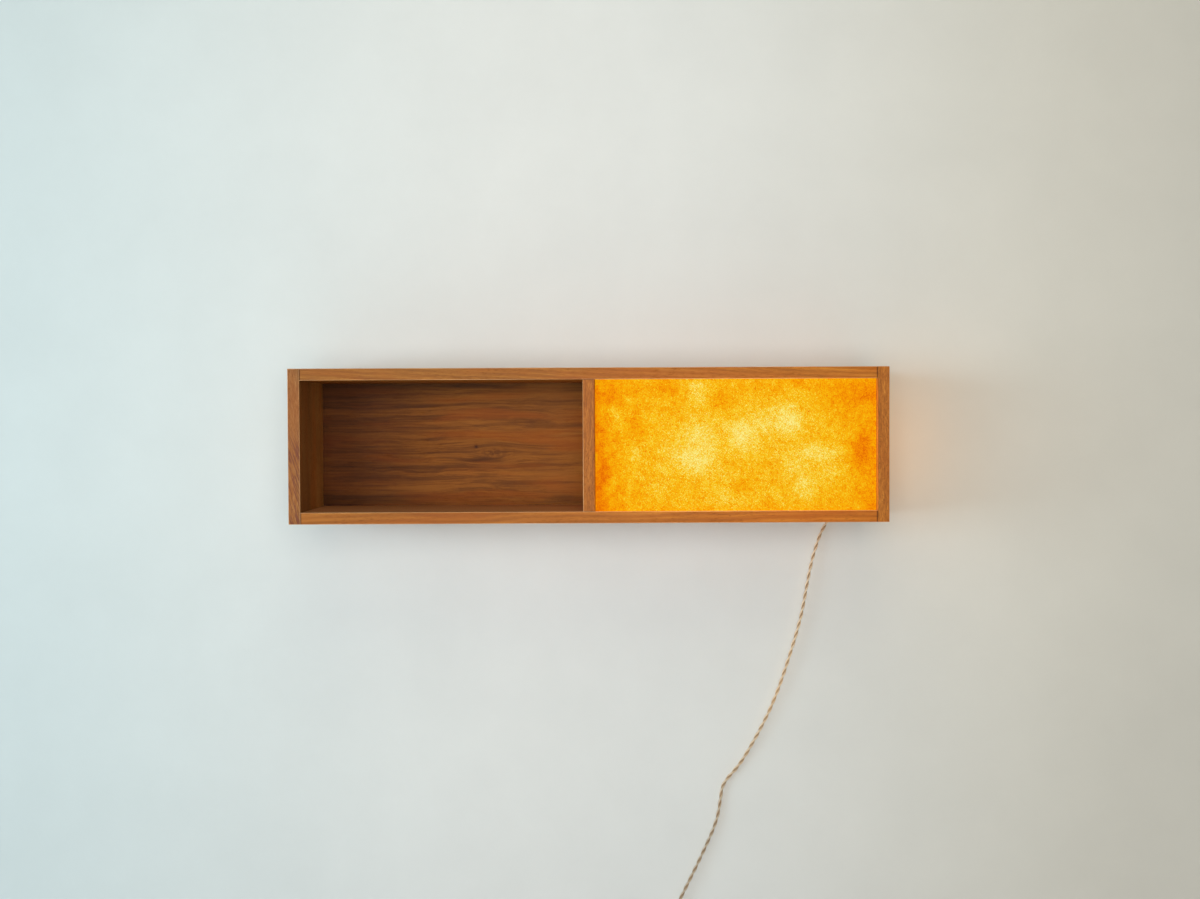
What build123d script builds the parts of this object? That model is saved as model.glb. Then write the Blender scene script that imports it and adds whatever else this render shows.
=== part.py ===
from build123d import *
import math
import os

os.makedirs("parts", exist_ok=True)

# Wall shelf lamp: a shallow wooden box that hooks over a wall cleat, with an open shelf
# on the left and a lamp behind amber paper on the right. Millimetres, +Z up.
# The wall is the plane y = 0 and the room is towards -Y. The origin lies on the wall,
# midway between the two screw holes of the wall cleat.

# Box
box_width = 760.0
box_height = 197.0
box_depth = 160.0
board = 15.0  # thickness of the uprights, the top and bottom boards and the divider
edge_round = 0.8
fit_gap = 0.05  # round a dowel, screw or pin in its hole

# Back panel, let into grooves in the four outer boards
panel_thick = 6.0
panel_groove = 5.0
panel_end_gap = 0.4
panel_face_gap = 0.1
wall_space = 13.0  # between the back panel and the wall

# Wall cleat and hanging batten, with matching 45 degree bevels
cleat_length = 600.0
cleat_height = 42.0
cleat_thick = 12.0
cleat_below = 20.0  # from the screw line down to the lower edge
cleat_hole_spacing = 400.0
cleat_hole_r = 2.5
cleat_sink_r = 5.0
batten_height = 40.0
batten_thick = 12.0
batten_end_gap = 0.3
hang_gap = 0.3

# Dowels
corner_dowel_r = 4.0
corner_dowel_length = 24.0
corner_dowel_depths = (40.0, 120.0)  # from the wall
corner_dowel_in_upright = 9.0
small_dowel_r = 3.0
small_dowel_length = 22.0
small_dowel_in_board = 8.0
divider_dowel_depths = (50.0, 120.0)
batten_dowel_rise = 9.0  # above and below the batten's middle
dowel_end_gap = 0.5

# Screws: shank radius, head radius, head height, length under the head
wood_screw = (2.0, 4.0, 2.0, 34.0)
small_screw = (1.5, 2.8, 1.6, 5.5)
case_screw = (1.1, 2.1, 1.4, 11.5)
head_gap = 0.2  # round a sunk head
head_sink = 0.5  # depth of the head below the surface
countersink = 90

# Diffuser: an opal sheet faced with paper, dropped between two grooves
sheet_thick = 3.0
paper_thick = 0.5
diffuser_recess = 6.0  # from the box's front to the paper
diffuser_groove_gap = 0.4
top_groove = 9.0
bottom_groove = 4.0
diffuser_seat_gap = 0.3
diffuser_catch = 3.7  # height held by the top groove when it is down
diffuser_side_gap = 0.6

# Cord
cord_r = 2.4
cord_hole_gap = 0.2
cord_from_side = 35.0  # from the right upright's inner face
cord_off_wall = 5.0
cord_notch_gap = 1.6
inner_cord_off_panel = 0.3
cord_crossing = 17.0  # rise of the cord while it passes through the back panel
cord_slot_gap = 0.8
cord_slot_height = 18.0
cord_slot_drop = 51.0  # below the lamp's height
bend_reach = 0.45  # share of the shorter run that a bend takes up

# Lamp bracket, a bent steel strip on the back panel
bracket_from_side = 63.0  # its holder face, from the right upright's inner face
bracket_thick = 2.0
bracket_width = 30.0
bracket_foot = 40.0
bracket_bend_r = 2.0
lamp_off_panel = 65.0
foot_screw_inset = (12.0, 30.0)

# Lampholder, as distances from the bracket along the lamp's axis and radii
nipple_r = 5.0
nipple_wall = 1.8
nipple_back = 7.0
nipple_front = 6.0
nut_across = 14.0
nut_thick = 3.0
holder_r = 20.0
holder_wall = 2.0
holder_split = 18.0
holder_length = 48.0
holder_neck = 5.0
holder_thread_gap = 0.2
holder_mouth_gap = 0.8
dome_start = 11.0
insert_at = 16.0
insert_thick = 5.0
screw_shell_wall = 0.5
screw_shell_length = 22.0
screw_shell_lip = 4.0  # width of its inner rim
contact_r = 3.0
contact_thick = 2.0

# Bulb
bulb_cap_r = 13.1
bulb_cap_gap = 0.4  # in the screw shell
bulb_cap_length = 21.5
bulb_cap_bevel = 2.0
bulb_cap_start = 3.5  # the insulator's height behind the cap
bulb_tip_r = 4.0
bulb_tip = 1.2
insulator_rim = 1.0
bulb_r = 30.0
bulb_wall = 1.0
collar_length = 34.0
globe_centre = 78.8  # from the bulb's tip
collar_flare = 0.1  # slope of the collar where it leaves the cap
led_disc_margin = 4.5  # inside the globe's rim
led_disc_thick = 1.6

# Terminal block and leads
block_size = (24.0, 12.0, 20.0)
block_base = 2.0  # under the head of its fixing screw
block_bore_r = 2.0
block_pitch = 11.0
sleeve_wall = 0.5
block_low = -2.0  # its lower face against the lamp's height
block_screw_r = 1.5
lead_r = 0.9
lead_gap = 1.6  # half the distance between the leads in the nipple
# how far each lead stands up from the block, its two bends, then its start towards the nipple;
# a bend is x from its bore, y from the lamp's axis and z from the block's top
live_route = (12.0, [(4.0, 26.0, 20.0), (12.0, 0.0, 4.0)], 1.0)
neutral_route = (16.0, [(6.0, 24.0, 23.0), (13.0, 0.0, 3.0)], 2.0)

# Cord clamp
clamp_length = 26.0
clamp_height = 9.0
clamp_thick = 1.2
clamp_screw_x = 9.0
clamp_drop = 22.0  # below the lamp's height

# In-line switch, hanging upright with its rocker to the room
switch_length = 52.0
switch_body = 42.0
switch_width = 24.0
switch_corner_r = 8.0
switch_neck = 10.0
switch_half = 9.0  # thickness of each shell
switch_wall = 1.8
shell_round = 2.5
neck_fillet = 3.0
boss_r = 2.8
boss_inset = (4.0, 6.0)  # from the side and from the end
rocker_width = 8.0
rocker_half = 7.8
rocker_proud = 4.4
rocker_dip = 3.0
rocker_foot = 3.2
rocker_foot_half = 7.2
rocker_foot_rise = 0.8
rocker_tilt = 9.0
rocker_gap = 0.3
rocker_end_gap = 0.9
rocker_depth = 3.9  # pivot behind the front of the switch
pivot_r = 1.2
pivot_gap = 0.08
pivot_length = 1.7
ear_thick = 1.8
ear_height = 7.0
ear_below_pivot = 3.1
terminal_size = (9.0, 10.2, 6.0)
cord_in_switch = 8.0

# Plug, two round pins
plug_length = 34.0
plug_sections = (  # below the boot: distance, width, thickness, corner radius
    (0.0, 11.0, 11.0, 5.0),
    (7.0, 15.0, 12.4, 5.0),
    (15.0, 28.0, 13.4, 5.0),
    (21.0, 35.0, 13.8, 5.0),
)
plug_grooves = 3
plug_groove_start = 3.5
plug_groove_pitch = 3.0
plug_groove_r = 0.8
boot_length = 14.0
boot_top_wall = 0.8
boot_shoulder = 0.3  # of the plug's neck round the boot
boot_ribs = 4
boot_rib_gap = 1.2
boot_rib_depth = 0.6
pin_r = 2.0
pin_length = 19.0
pin_hold = 5.0
pin_pitch = 18.6

# Coil against the wall
coil_layer_turns = (3, 3, 3, 4)  # half turns in each layer
coil_turn_gap = 1.5
coil_layer_gap = 0.6
coil_start_r = 31.2
coil_off_wall = 4.0  # to the middle of the cord
coil_end_straight = 4.8
boot_below_coil = 15.0  # from the coil's middle

# Tie round the coil
tie_width = 8.0
tie_thick = 1.0
tie_gap = 0.3
tie_stud_r = 2.6

# Where the box stands against the cleat's screw line
inner_width = box_width - 2 * board
inner_height = box_height - 2 * board
half_w = inner_width / 2
half_h = inner_height / 2
half_board = board / 2
cleat_top = cleat_height - cleat_below
batten_back = batten_thick - wall_space  # y of the batten's face next to the wall
batten_tip_z = cleat_top - cleat_thick - batten_back + hang_gap * math.sqrt(2)
batten_top_z = batten_tip_z + batten_height
mid_z = batten_top_z - half_h
batten_mid_z = (batten_tip_z + batten_thick + batten_top_z) / 2
box_low_z = mid_z - box_height / 2
panel_back = -wall_space
panel_face = panel_back - panel_thick
bay_left = half_board
cord_x = half_w - cord_from_side
bracket_x = half_w - bracket_from_side
diffuser_front = -box_depth + diffuser_recess
diffuser_back = diffuser_front + paper_thick + sheet_thick
tiny = 0.01

# Where small screws enter the back panel, as x and z
foot_screws = [(bracket_x - inset, mid_z) for inset in foot_screw_inset]
block_z = mid_z + block_low + block_size[2] / 2
block_screw_at = (cord_x, block_z)
clamp_z = mid_z - clamp_drop
clamp_screws_at = [(cord_x + side * clamp_screw_x, clamp_z) for side in (-1, 1)]


def save(piece, name):
    piece.part.label = name
    export_step(piece.part, f"parts/{name}.step")


# A rectangular block between two limits along each axis
def block(x, y, z, mode=Mode.ADD):
    middle = ((x[0] + x[1]) / 2, (y[0] + y[1]) / 2, (z[0] + z[1]) / 2)
    with Locations(middle):
        Box(x[1] - x[0], y[1] - y[0], z[1] - z[0], mode=mode)


# A round bar or hole from a start point along a direction
def bar(start, direction, radius, length, mode=Mode.ADD):
    with BuildSketch(Plane(origin=start, z_dir=direction)) as section:
        Circle(radius)
    extrude(section.sketch, amount=length, mode=mode)


# A screw whose seat is at a plane, its head behind the plane and its shank along +z
def screw(seat, kind, countersunk=False):
    shank_r, head_r, head_height, length = kind
    with BuildSketch(Plane(origin=seat.origin, x_dir=seat.x_dir, z_dir=-seat.y_dir)) as half:
        with BuildLine():
            if countersunk:
                Polyline((0, 0), (head_r, 0), (shank_r, head_height), (shank_r, length - shank_r))
            else:
                Polyline((0, -head_height), (head_r, -head_height), (head_r, 0), (shank_r, 0))
                Line((shank_r, 0), (shank_r, length - shank_r))
            Line((shank_r, length - shank_r), (0, length))
            Line((0, length), (0, 0 if countersunk else -head_height))
        make_face()
    revolve(half.sketch, axis=Axis(seat.origin, seat.z_dir))


# The radius of each bend: as large as its two runs allow
def bend_radii(points):
    corners = [Vector(*p) for p in points]
    radii = []
    for before, at, after in zip(corners, corners[1:], corners[2:]):
        turn = math.radians((at - before).get_angle(after - at))
        shorter = min((at - before).length, (after - at).length)
        radii.append(bend_reach * shorter / math.tan(turn / 2))
    return radii


# A round section carried along straight runs joined by tangent arcs
def round_run(points, radius):
    with BuildLine() as path:
        FilletPolyline(*points, radius=bend_radii(points))
    with BuildSketch(Plane(origin=path.line @ 0, z_dir=path.line % 0)) as section:
        Circle(radius)
    sweep(section.sketch, path=path.line)
    return sum(edge.length for edge in path.line.edges())


# Uprights: full height, grooved for the back panel, bored for the dowels
def upright(side):
    outer = side * box_width / 2
    inner = side * half_w
    block(sorted((outer, inner)), (-box_depth, 0), (mid_z - box_height / 2, mid_z + box_height / 2))


def upright_cuts(side):
    inner = side * half_w
    groove_z = half_h + panel_groove
    block(
        sorted((inner, inner + side * panel_groove)),
        (panel_face - panel_face_gap, panel_back + panel_face_gap),
        (mid_z - groove_z, mid_z + groove_z),
        mode=Mode.SUBTRACT,
    )
    for depth in corner_dowel_depths:
        for level in (-1, 1):
            start = (inner, -depth, mid_z + level * (half_h + half_board))
            hole = corner_dowel_in_upright + dowel_end_gap
            bar(start, (side, 0, 0), corner_dowel_r + fit_gap, hole, Mode.SUBTRACT)
    for rise in (-batten_dowel_rise, batten_dowel_rise):
        start = (inner, batten_back - batten_thick / 2, batten_mid_z + rise)
        hole = small_dowel_in_board + dowel_end_gap
        bar(start, (side, 0, 0), small_dowel_r + fit_gap, hole, Mode.SUBTRACT)


# Edges of a board that are eased: every front edge, and the others off the given inner plane
def eased(edges, inner_distance):
    chosen = []
    for edge in edges:
        at = edge.center()
        on_front = at.Y < -box_depth + tiny
        on_wall = at.Y > -tiny
        if on_front or (not on_wall and abs(inner_distance(at)) > tiny):
            chosen.append(edge)
    return chosen


with BuildPart() as left_upright:
    upright(-1)
    fillet(eased(left_upright.edges(), lambda at: at.X + half_w), edge_round)
    upright_cuts(-1)
save(left_upright, "left_upright")

with BuildPart() as right_upright:
    upright(1)
    fillet(eased(right_upright.edges(), lambda at: at.X - half_w), edge_round)
    upright_cuts(1)
save(right_upright, "right_upright")


# Top and bottom boards: between the uprights, grooved for the panel and the diffuser
def shelf_board(level):
    inner = mid_z + level * half_h
    outer = mid_z + level * box_height / 2
    block((-half_w, half_w), (-box_depth, 0), sorted((inner, outer)))


def shelf_board_cuts(level, diffuser_groove):
    inner = mid_z + level * half_h
    block(
        (-half_w, half_w),
        (panel_face - panel_face_gap, panel_back + panel_face_gap),
        sorted((inner, inner + level * panel_groove)),
        mode=Mode.SUBTRACT,
    )
    block(
        (bay_left, half_w),
        (diffuser_front - diffuser_groove_gap, diffuser_back + diffuser_groove_gap),
        sorted((inner, inner + level * diffuser_groove)),
        mode=Mode.SUBTRACT,
    )
    for side in (-1, 1):
        for depth in corner_dowel_depths:
            start = (side * half_w, -depth, inner + level * half_board)
            hole = corner_dowel_length - corner_dowel_in_upright + dowel_end_gap
            bar(start, (-side, 0, 0), corner_dowel_r + fit_gap, hole, Mode.SUBTRACT)
    for depth in divider_dowel_depths:
        hole = small_dowel_in_board + dowel_end_gap
        bar((0, -depth, inner), (0, 0, level), small_dowel_r + fit_gap, hole, Mode.SUBTRACT)


with BuildPart() as top_board:
    shelf_board(1)
    front = top_board.faces().sort_by(Axis.Y)[0]
    fillet(front.edges().filter_by(Axis.X), edge_round)
    shelf_board_cuts(1, top_groove)
save(top_board, "top_board")

with BuildPart() as bottom_board:
    shelf_board(-1)
    front = bottom_board.faces().sort_by(Axis.Y)[0]
    fillet(front.edges().filter_by(Axis.X), edge_round)
    shelf_board_cuts(-1, bottom_groove)
    # the cord leaves through a round-ended notch in the rear edge
    with BuildSketch(Plane.XY.offset(box_low_z)):
        notch_r = cord_r + cord_notch_gap
        with Locations((cord_x, -cord_off_wall)):
            Circle(notch_r)
        with Locations((cord_x, -cord_off_wall / 2)):
            Rectangle(2 * notch_r, cord_off_wall)
    extrude(amount=board, mode=Mode.SUBTRACT)
save(bottom_board, "bottom_board")

with BuildPart() as divider:
    block((-half_board, half_board), (-box_depth, panel_face), (mid_z - half_h, mid_z + half_h))
    front = divider.faces().sort_by(Axis.Y)[0]
    fillet(front.edges().filter_by(Axis.Z), edge_round)
    for depth in divider_dowel_depths:
        for level in (-1, 1):
            start = (0, -depth, mid_z + level * half_h)
            hole = small_dowel_length - small_dowel_in_board + dowel_end_gap
            bar(start, (0, 0, -level), small_dowel_r + fit_gap, hole, Mode.SUBTRACT)
    pilot = wood_screw[3] - batten_thick - panel_thick + dowel_end_gap
    bar((0, panel_face, batten_mid_z), (0, -1, 0), wood_screw[0] + fit_gap, pilot, Mode.SUBTRACT)
save(divider, "divider")

# The back panel has an upright slot where the cord comes through to the lamp bay
inner_cord_y = panel_face - inner_cord_off_panel - cord_r
cord_slot_width = 2 * (cord_r + cord_slot_gap)
cord_slot_z = mid_z - cord_slot_drop
with BuildPart() as back_panel:
    tongue = panel_groove - panel_end_gap
    block(
        (-half_w - tongue, half_w + tongue),
        (panel_face, panel_back),
        (mid_z - half_h - tongue, mid_z + half_h + tongue),
    )
    slot_seat = (cord_x, panel_back, cord_slot_z)
    with BuildSketch(Plane(origin=slot_seat, x_dir=(1, 0, 0), z_dir=(0, -1, 0))):
        SlotOverall(cord_slot_height, cord_slot_width, rotation=90)
    extrude(amount=panel_thick, mode=Mode.SUBTRACT)
    bar((0, panel_back, batten_mid_z), (0, -1, 0), wood_screw[0] + fit_gap, panel_thick, Mode.SUBTRACT)
    pilots = [(at, small_screw[3] - bracket_thick) for at in foot_screws]
    pilots += [(at, small_screw[3] - clamp_thick) for at in clamp_screws_at]
    pilots += [(block_screw_at, small_screw[3] - block_base)]
    for (x, z), deep in pilots:
        bar((x, panel_face, z), (0, 1, 0), small_screw[0] + fit_gap, deep + fit_gap, Mode.SUBTRACT)
save(back_panel, "back_panel")

# Hanging batten: its bevelled lower edge drops behind the wall cleat
with BuildPart() as hanging_batten:
    with BuildSketch(Plane.YZ):
        with BuildLine():
            Polyline(
                (batten_back, batten_tip_z),
                (batten_back, batten_top_z),
                (panel_back, batten_top_z),
                (panel_back, batten_tip_z + batten_thick),
                close=True,
            )
        make_face()
    extrude(amount=half_w - batten_end_gap, both=True)
    for side in (-1, 1):
        for rise in (-batten_dowel_rise, batten_dowel_rise):
            start = (side * half_w, batten_back - batten_thick / 2, batten_mid_z + rise)
            hole = small_dowel_length - small_dowel_in_board + dowel_end_gap
            bar(start, (-side, 0, 0), small_dowel_r + fit_gap, hole, Mode.SUBTRACT)
    with Locations(Plane(origin=(0, batten_back, batten_mid_z), z_dir=(0, 1, 0))):
        CounterSinkHole(wood_screw[0] + fit_gap, wood_screw[1] + fit_gap, batten_thick, countersink)
save(hanging_batten, "hanging_batten")

# Wall cleat: two countersunk holes in line, and the bevel that pulls the box to the wall
with BuildPart() as wall_cleat:
    with BuildSketch(Plane.YZ):
        with BuildLine():
            Polyline(
                (0, -cleat_below),
                (-cleat_thick, -cleat_below),
                (-cleat_thick, cleat_top),
                (0, cleat_top - cleat_thick),
                close=True,
            )
        make_face()
    extrude(amount=cleat_length / 2, both=True)
    low_front = wall_cleat.edges().filter_by(Axis.X).sort_by(lambda e: e.center().Y + e.center().Z)[0]
    fillet(low_front, edge_round)
    for side in (-1, 1):
        at = (side * cleat_hole_spacing / 2, -cleat_thick, 0)
        with Locations(Plane(origin=at, z_dir=(0, -1, 0))):
            CounterSinkHole(cleat_hole_r, cleat_sink_r, cleat_thick, countersink)
save(wall_cleat, "wall_cleat")

# Dowels
with BuildPart() as corner_dowels:
    for side in (-1, 1):
        for level in (-1, 1):
            for depth in corner_dowel_depths:
                end_x = side * (half_w + corner_dowel_in_upright)
                start = (end_x, -depth, mid_z + level * (half_h + half_board))
                bar(start, (-side, 0, 0), corner_dowel_r, corner_dowel_length)
save(corner_dowels, "corner_dowels")

with BuildPart() as divider_dowels:
    for level in (-1, 1):
        for depth in divider_dowel_depths:
            start = (0, -depth, mid_z + level * (half_h + small_dowel_in_board))
            bar(start, (0, 0, -level), small_dowel_r, small_dowel_length)
save(divider_dowels, "divider_dowels")

with BuildPart() as batten_dowels:
    for side in (-1, 1):
        for rise in (-batten_dowel_rise, batten_dowel_rise):
            end_x = side * (half_w + small_dowel_in_board)
            start = (end_x, batten_back - batten_thick / 2, batten_mid_z + rise)
            bar(start, (-side, 0, 0), small_dowel_r, small_dowel_length)
save(batten_dowels, "batten_dowels")

with BuildPart() as batten_screw:
    screw(Plane(origin=(0, batten_back, batten_mid_z), z_dir=(0, -1, 0)), wood_screw, True)
save(batten_screw, "batten_screw")

# Diffuser: both layers stand in the grooves and can be lifted out of the lower one
diffuser_x = (bay_left + diffuser_side_gap, half_w - diffuser_side_gap)
diffuser_z = (
    mid_z - half_h - bottom_groove + diffuser_seat_gap,
    mid_z + half_h + diffuser_catch,
)

with BuildPart() as diffuser_sheet:
    block(diffuser_x, (diffuser_back - sheet_thick, diffuser_back), diffuser_z)
save(diffuser_sheet, "diffuser_sheet")

with BuildPart() as diffuser_paper:
    block(diffuser_x, (diffuser_front, diffuser_front + paper_thick), diffuser_z)
save(diffuser_paper, "diffuser_paper")

# The lamp's axis runs to the left from the bracket; local x follows it, local y is up
lamp_y = panel_face - lamp_off_panel
lamp_plane = Plane(origin=(bracket_x, lamp_y, mid_z), x_dir=(-1, 0, 0), z_dir=(0, 1, 0))
lamp_axis = Axis(lamp_plane.origin, (-1, 0, 0))


# A closed outline of distances along the lamp's axis and radii, turned about that axis
def turned(*points):
    with BuildSketch(lamp_plane) as half:
        with BuildLine():
            Polyline(*points, close=True)
        make_face()
    revolve(half.sketch, axis=lamp_axis)


with BuildPart() as lamp_bracket:
    leg_end = lamp_off_panel + bracket_width / 2
    with BuildSketch(Plane(origin=(bracket_x, panel_face, mid_z), x_dir=(1, 0, 0), z_dir=(0, 0, 1))):
        with BuildLine():
            Polyline(
                (bracket_thick, 0),
                (bracket_thick, -leg_end),
                (0, -leg_end),
                (0, -bracket_thick),
                (bracket_thick - bracket_foot, -bracket_thick),
                (bracket_thick - bracket_foot, 0),
                close=True,
            )
        make_face()
    extrude(amount=bracket_width / 2, both=True)
    upright_edges = lamp_bracket.edges().filter_by(Axis.Z)
    inside_bend = upright_edges.sort_by_distance((bracket_x, panel_face - bracket_thick, mid_z))[0]
    outside_bend = upright_edges.sort_by_distance((bracket_x + bracket_thick, panel_face, mid_z))[0]
    fillet(inside_bend, bracket_bend_r)
    fillet(outside_bend, bracket_bend_r + bracket_thick)
    leg_corners = lamp_bracket.edges().filter_by(Axis.X).group_by(Axis.Y)[0]
    fillet(leg_corners, bracket_width / 2 - tiny)
    foot_corners = lamp_bracket.edges().filter_by(Axis.Y).group_by(Axis.X)[0]
    fillet(foot_corners, bracket_bend_r * 2)
    bar((bracket_x, lamp_y, mid_z), (1, 0, 0), nipple_r + fit_gap, bracket_thick, Mode.SUBTRACT)
    for inset in foot_screw_inset:
        at = (bracket_x - inset, panel_face - bracket_thick, mid_z)
        bar(at, (0, 1, 0), small_screw[0] + fit_gap, bracket_thick, Mode.SUBTRACT)
save(lamp_bracket, "lamp_bracket")

with BuildPart() as bracket_screws:
    for x, z in foot_screws:
        screw(Plane(origin=(x, panel_face - bracket_thick, z), z_dir=(0, 1, 0)), small_screw)
save(bracket_screws, "bracket_screws")

# Lampholder: nipple and nut clamp the cap to the bracket, the skirt screws over the cap
nipple_bore_r = nipple_r - nipple_wall
with BuildPart() as holder_nipple:
    turned(
        (-nipple_back, nipple_bore_r),
        (-nipple_back, nipple_r),
        (nipple_front, nipple_r),
        (nipple_front, nipple_bore_r),
    )
save(holder_nipple, "holder_nipple")

with BuildPart() as holder_nut:
    nut_plane = Plane(origin=(bracket_x + bracket_thick, lamp_y, mid_z), z_dir=(1, 0, 0))
    with BuildSketch(nut_plane):
        RegularPolygon(nut_across / 2, 6, major_radius=False)
        Circle(nipple_r + fit_gap, mode=Mode.SUBTRACT)
    extrude(amount=nut_thick)
save(holder_nut, "holder_nut")

holder_bore_r = holder_r - holder_wall
neck_r = holder_bore_r - holder_thread_gap
neck_bore_r = neck_r - holder_wall / 2
seat_bore_r = neck_r - holder_wall * 2
with BuildPart() as holder_cap:
    turned(
        (0, nipple_r + fit_gap),
        (0, dome_start),
        (holder_wall * 2, holder_bore_r),
        (holder_split / 2, holder_r),
        (holder_split, holder_r),
        (holder_split, neck_r),
        (holder_split + holder_neck, neck_r),
        (holder_split + holder_neck, neck_bore_r),
        (insert_at, neck_bore_r),
        (insert_at, seat_bore_r),
        (holder_split / 2, seat_bore_r),
        (holder_wall, dome_start - holder_wall),
        (holder_wall, nipple_r + fit_gap),
    )
save(holder_cap, "holder_cap")

insert_r = neck_bore_r - holder_thread_gap
insert_bore_r = contact_r + holder_wall
shell_start = insert_at + insert_thick
with BuildPart() as holder_insert:
    turned(
        (insert_at, insert_bore_r),
        (insert_at, insert_r),
        (shell_start, insert_r),
        (shell_start, 0),
        (shell_start - holder_wall, 0),
        (shell_start - holder_wall, insert_bore_r),
    )
save(holder_insert, "holder_insert")

shell_bore_r = bulb_cap_r + bulb_cap_gap
screw_shell_r = shell_bore_r + screw_shell_wall
shell_end = shell_start + screw_shell_length
with BuildPart() as holder_shell:
    turned(
        (shell_start, screw_shell_r - screw_shell_lip),
        (shell_start, screw_shell_r),
        (shell_end, screw_shell_r),
        (shell_end, shell_bore_r),
        (shell_start + screw_shell_wall, shell_bore_r),
        (shell_start + screw_shell_wall, screw_shell_r - screw_shell_lip),
    )
save(holder_shell, "holder_shell")

with BuildPart() as holder_contact:
    turned(
        (shell_start, 0),
        (shell_start, contact_r),
        (shell_start + contact_thick / 2, contact_r),
        (shell_start + contact_thick, contact_r / 2),
        (shell_start + contact_thick, 0),
    )
save(holder_contact, "holder_contact")

holder_mouth_r = screw_shell_r + holder_mouth_gap
with BuildPart() as holder_skirt:
    turned(
        (holder_split, holder_bore_r),
        (holder_split, holder_r),
        (holder_length - holder_wall, holder_r),
        (holder_length, holder_r - holder_wall / 2),
        (holder_length, holder_mouth_r),
        (holder_length - holder_wall, holder_mouth_r),
        (holder_length - holder_wall * 2, holder_bore_r),
    )
save(holder_skirt, "holder_skirt")

# Bulb: its tip touches the holder's contact
tip_at = shell_start + contact_thick
cap_at = tip_at + bulb_tip + bulb_cap_start
collar_at = cap_at + bulb_cap_length
collar_end = collar_at + collar_length
globe_at = tip_at + globe_centre
globe_depth = globe_at - collar_end
rim_r = math.sqrt(bulb_r**2 - globe_depth**2)
inner_r = bulb_r - bulb_wall
inner_rim = math.sqrt(inner_r**2 - globe_depth**2)

with BuildPart() as bulb_contact:
    turned(
        (tip_at, 0),
        (tip_at, contact_r / 2),
        (tip_at + bulb_tip / 2, bulb_tip_r),
        (tip_at + bulb_tip, bulb_tip_r),
        (tip_at + bulb_tip, 0),
    )
save(bulb_contact, "bulb_contact")

with BuildPart() as bulb_insulator:
    turned(
        (tip_at + bulb_tip, 0),
        (tip_at + bulb_tip, bulb_tip_r + insulator_rim),
        (cap_at, bulb_cap_r - bulb_cap_bevel),
        (cap_at, 0),
    )
save(bulb_insulator, "bulb_insulator")

with BuildPart() as bulb_cap:
    turned(
        (cap_at, 0),
        (cap_at, bulb_cap_r - bulb_cap_bevel),
        (cap_at + bulb_cap_bevel, bulb_cap_r),
        (collar_at, bulb_cap_r),
        (collar_at, 0),
    )
save(bulb_cap, "bulb_cap")

with BuildPart() as bulb_collar:
    with BuildSketch(lamp_plane) as half:
        with BuildLine():
            Line((collar_at, 0), (collar_at, shell_bore_r))
            Spline(
                (collar_at, shell_bore_r),
                (collar_end, rim_r),
                tangents=((1, collar_flare), (1, globe_depth / rim_r)),
            )
            Polyline((collar_end, rim_r), (collar_end, 0), (collar_at, 0))
        make_face()
    revolve(half.sketch, axis=lamp_axis)
save(bulb_collar, "bulb_collar")

led_disc_r = inner_rim - led_disc_margin
with BuildPart() as led_disc:
    turned(
        (collar_end, 0),
        (collar_end, led_disc_r),
        (collar_end + led_disc_thick, led_disc_r),
        (collar_end + led_disc_thick, 0),
    )
save(led_disc, "led_disc")

with BuildPart() as bulb_globe:
    with BuildSketch(lamp_plane) as half:
        with BuildLine():
            ThreePointArc((collar_end, rim_r), (globe_at, bulb_r), (globe_at + bulb_r, 0))
            Line((globe_at + bulb_r, 0), (globe_at + inner_r, 0))
            ThreePointArc((globe_at + inner_r, 0), (globe_at, inner_r), (collar_end, inner_rim))
            Line((collar_end, inner_rim), (collar_end, rim_r))
        make_face()
    revolve(half.sketch, axis=lamp_axis)
save(bulb_globe, "bulb_globe")

# Terminal block on the back panel, above the cord clamp
block_front = panel_face - block_size[1]
block_bore_y = panel_face - block_size[1] / 2
block_top = block_z + block_size[2] / 2
block_bottom = block_z - block_size[2] / 2
with BuildPart() as terminal_block:
    block(
        (cord_x - block_size[0] / 2, cord_x + block_size[0] / 2),
        (block_front, panel_face),
        (block_bottom, block_top),
    )
    fillet(terminal_block.faces().sort_by(Axis.Y)[0].edges(), edge_round)
    seat = (cord_x, panel_face, block_z)
    bar(seat, (0, -1, 0), small_screw[0] + fit_gap, block_base, Mode.SUBTRACT)
    seat = (cord_x, panel_face - block_base, block_z)
    bar(seat, (0, -1, 0), small_screw[1] + fit_gap, block_size[1], Mode.SUBTRACT)
    for side in (-1, 1):
        bore_x = cord_x + side * block_pitch / 2
        start = (bore_x, block_bore_y, block_bottom + block_base)
        bar(start, (0, 0, 1), block_bore_r + fit_gap, block_size[2], Mode.SUBTRACT)
        for rise in (-1, 1):
            start = (bore_x, block_front, block_z + rise * block_size[2] / 4)
            deep = block_size[1] / 2 - block_bore_r
            bar(start, (0, 1, 0), block_screw_r + fit_gap, deep + tiny, Mode.SUBTRACT)
save(terminal_block, "terminal_block")

with BuildPart() as terminal_sleeves:
    for side in (-1, 1):
        start = (cord_x + side * block_pitch / 2, block_bore_y, block_bottom + block_base)
        length = block_size[2] - 2 * block_base
        bar(start, (0, 0, 1), block_bore_r, length)
        bar(start, (0, 0, 1), block_bore_r - sleeve_wall, length, Mode.SUBTRACT)
save(terminal_sleeves, "terminal_sleeves")

with BuildPart() as terminal_screws:
    screw(Plane(origin=(cord_x, panel_face - block_base, block_z), z_dir=(0, 1, 0)), small_screw)
    for side in (-1, 1):
        for rise in (-1, 1):
            at = (cord_x + side * block_pitch / 2, block_front, block_z + rise * block_size[2] / 4)
            bar(at, (0, 1, 0), block_screw_r, block_size[1] / 2 - block_bore_r)
save(terminal_screws, "terminal_screws")

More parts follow.
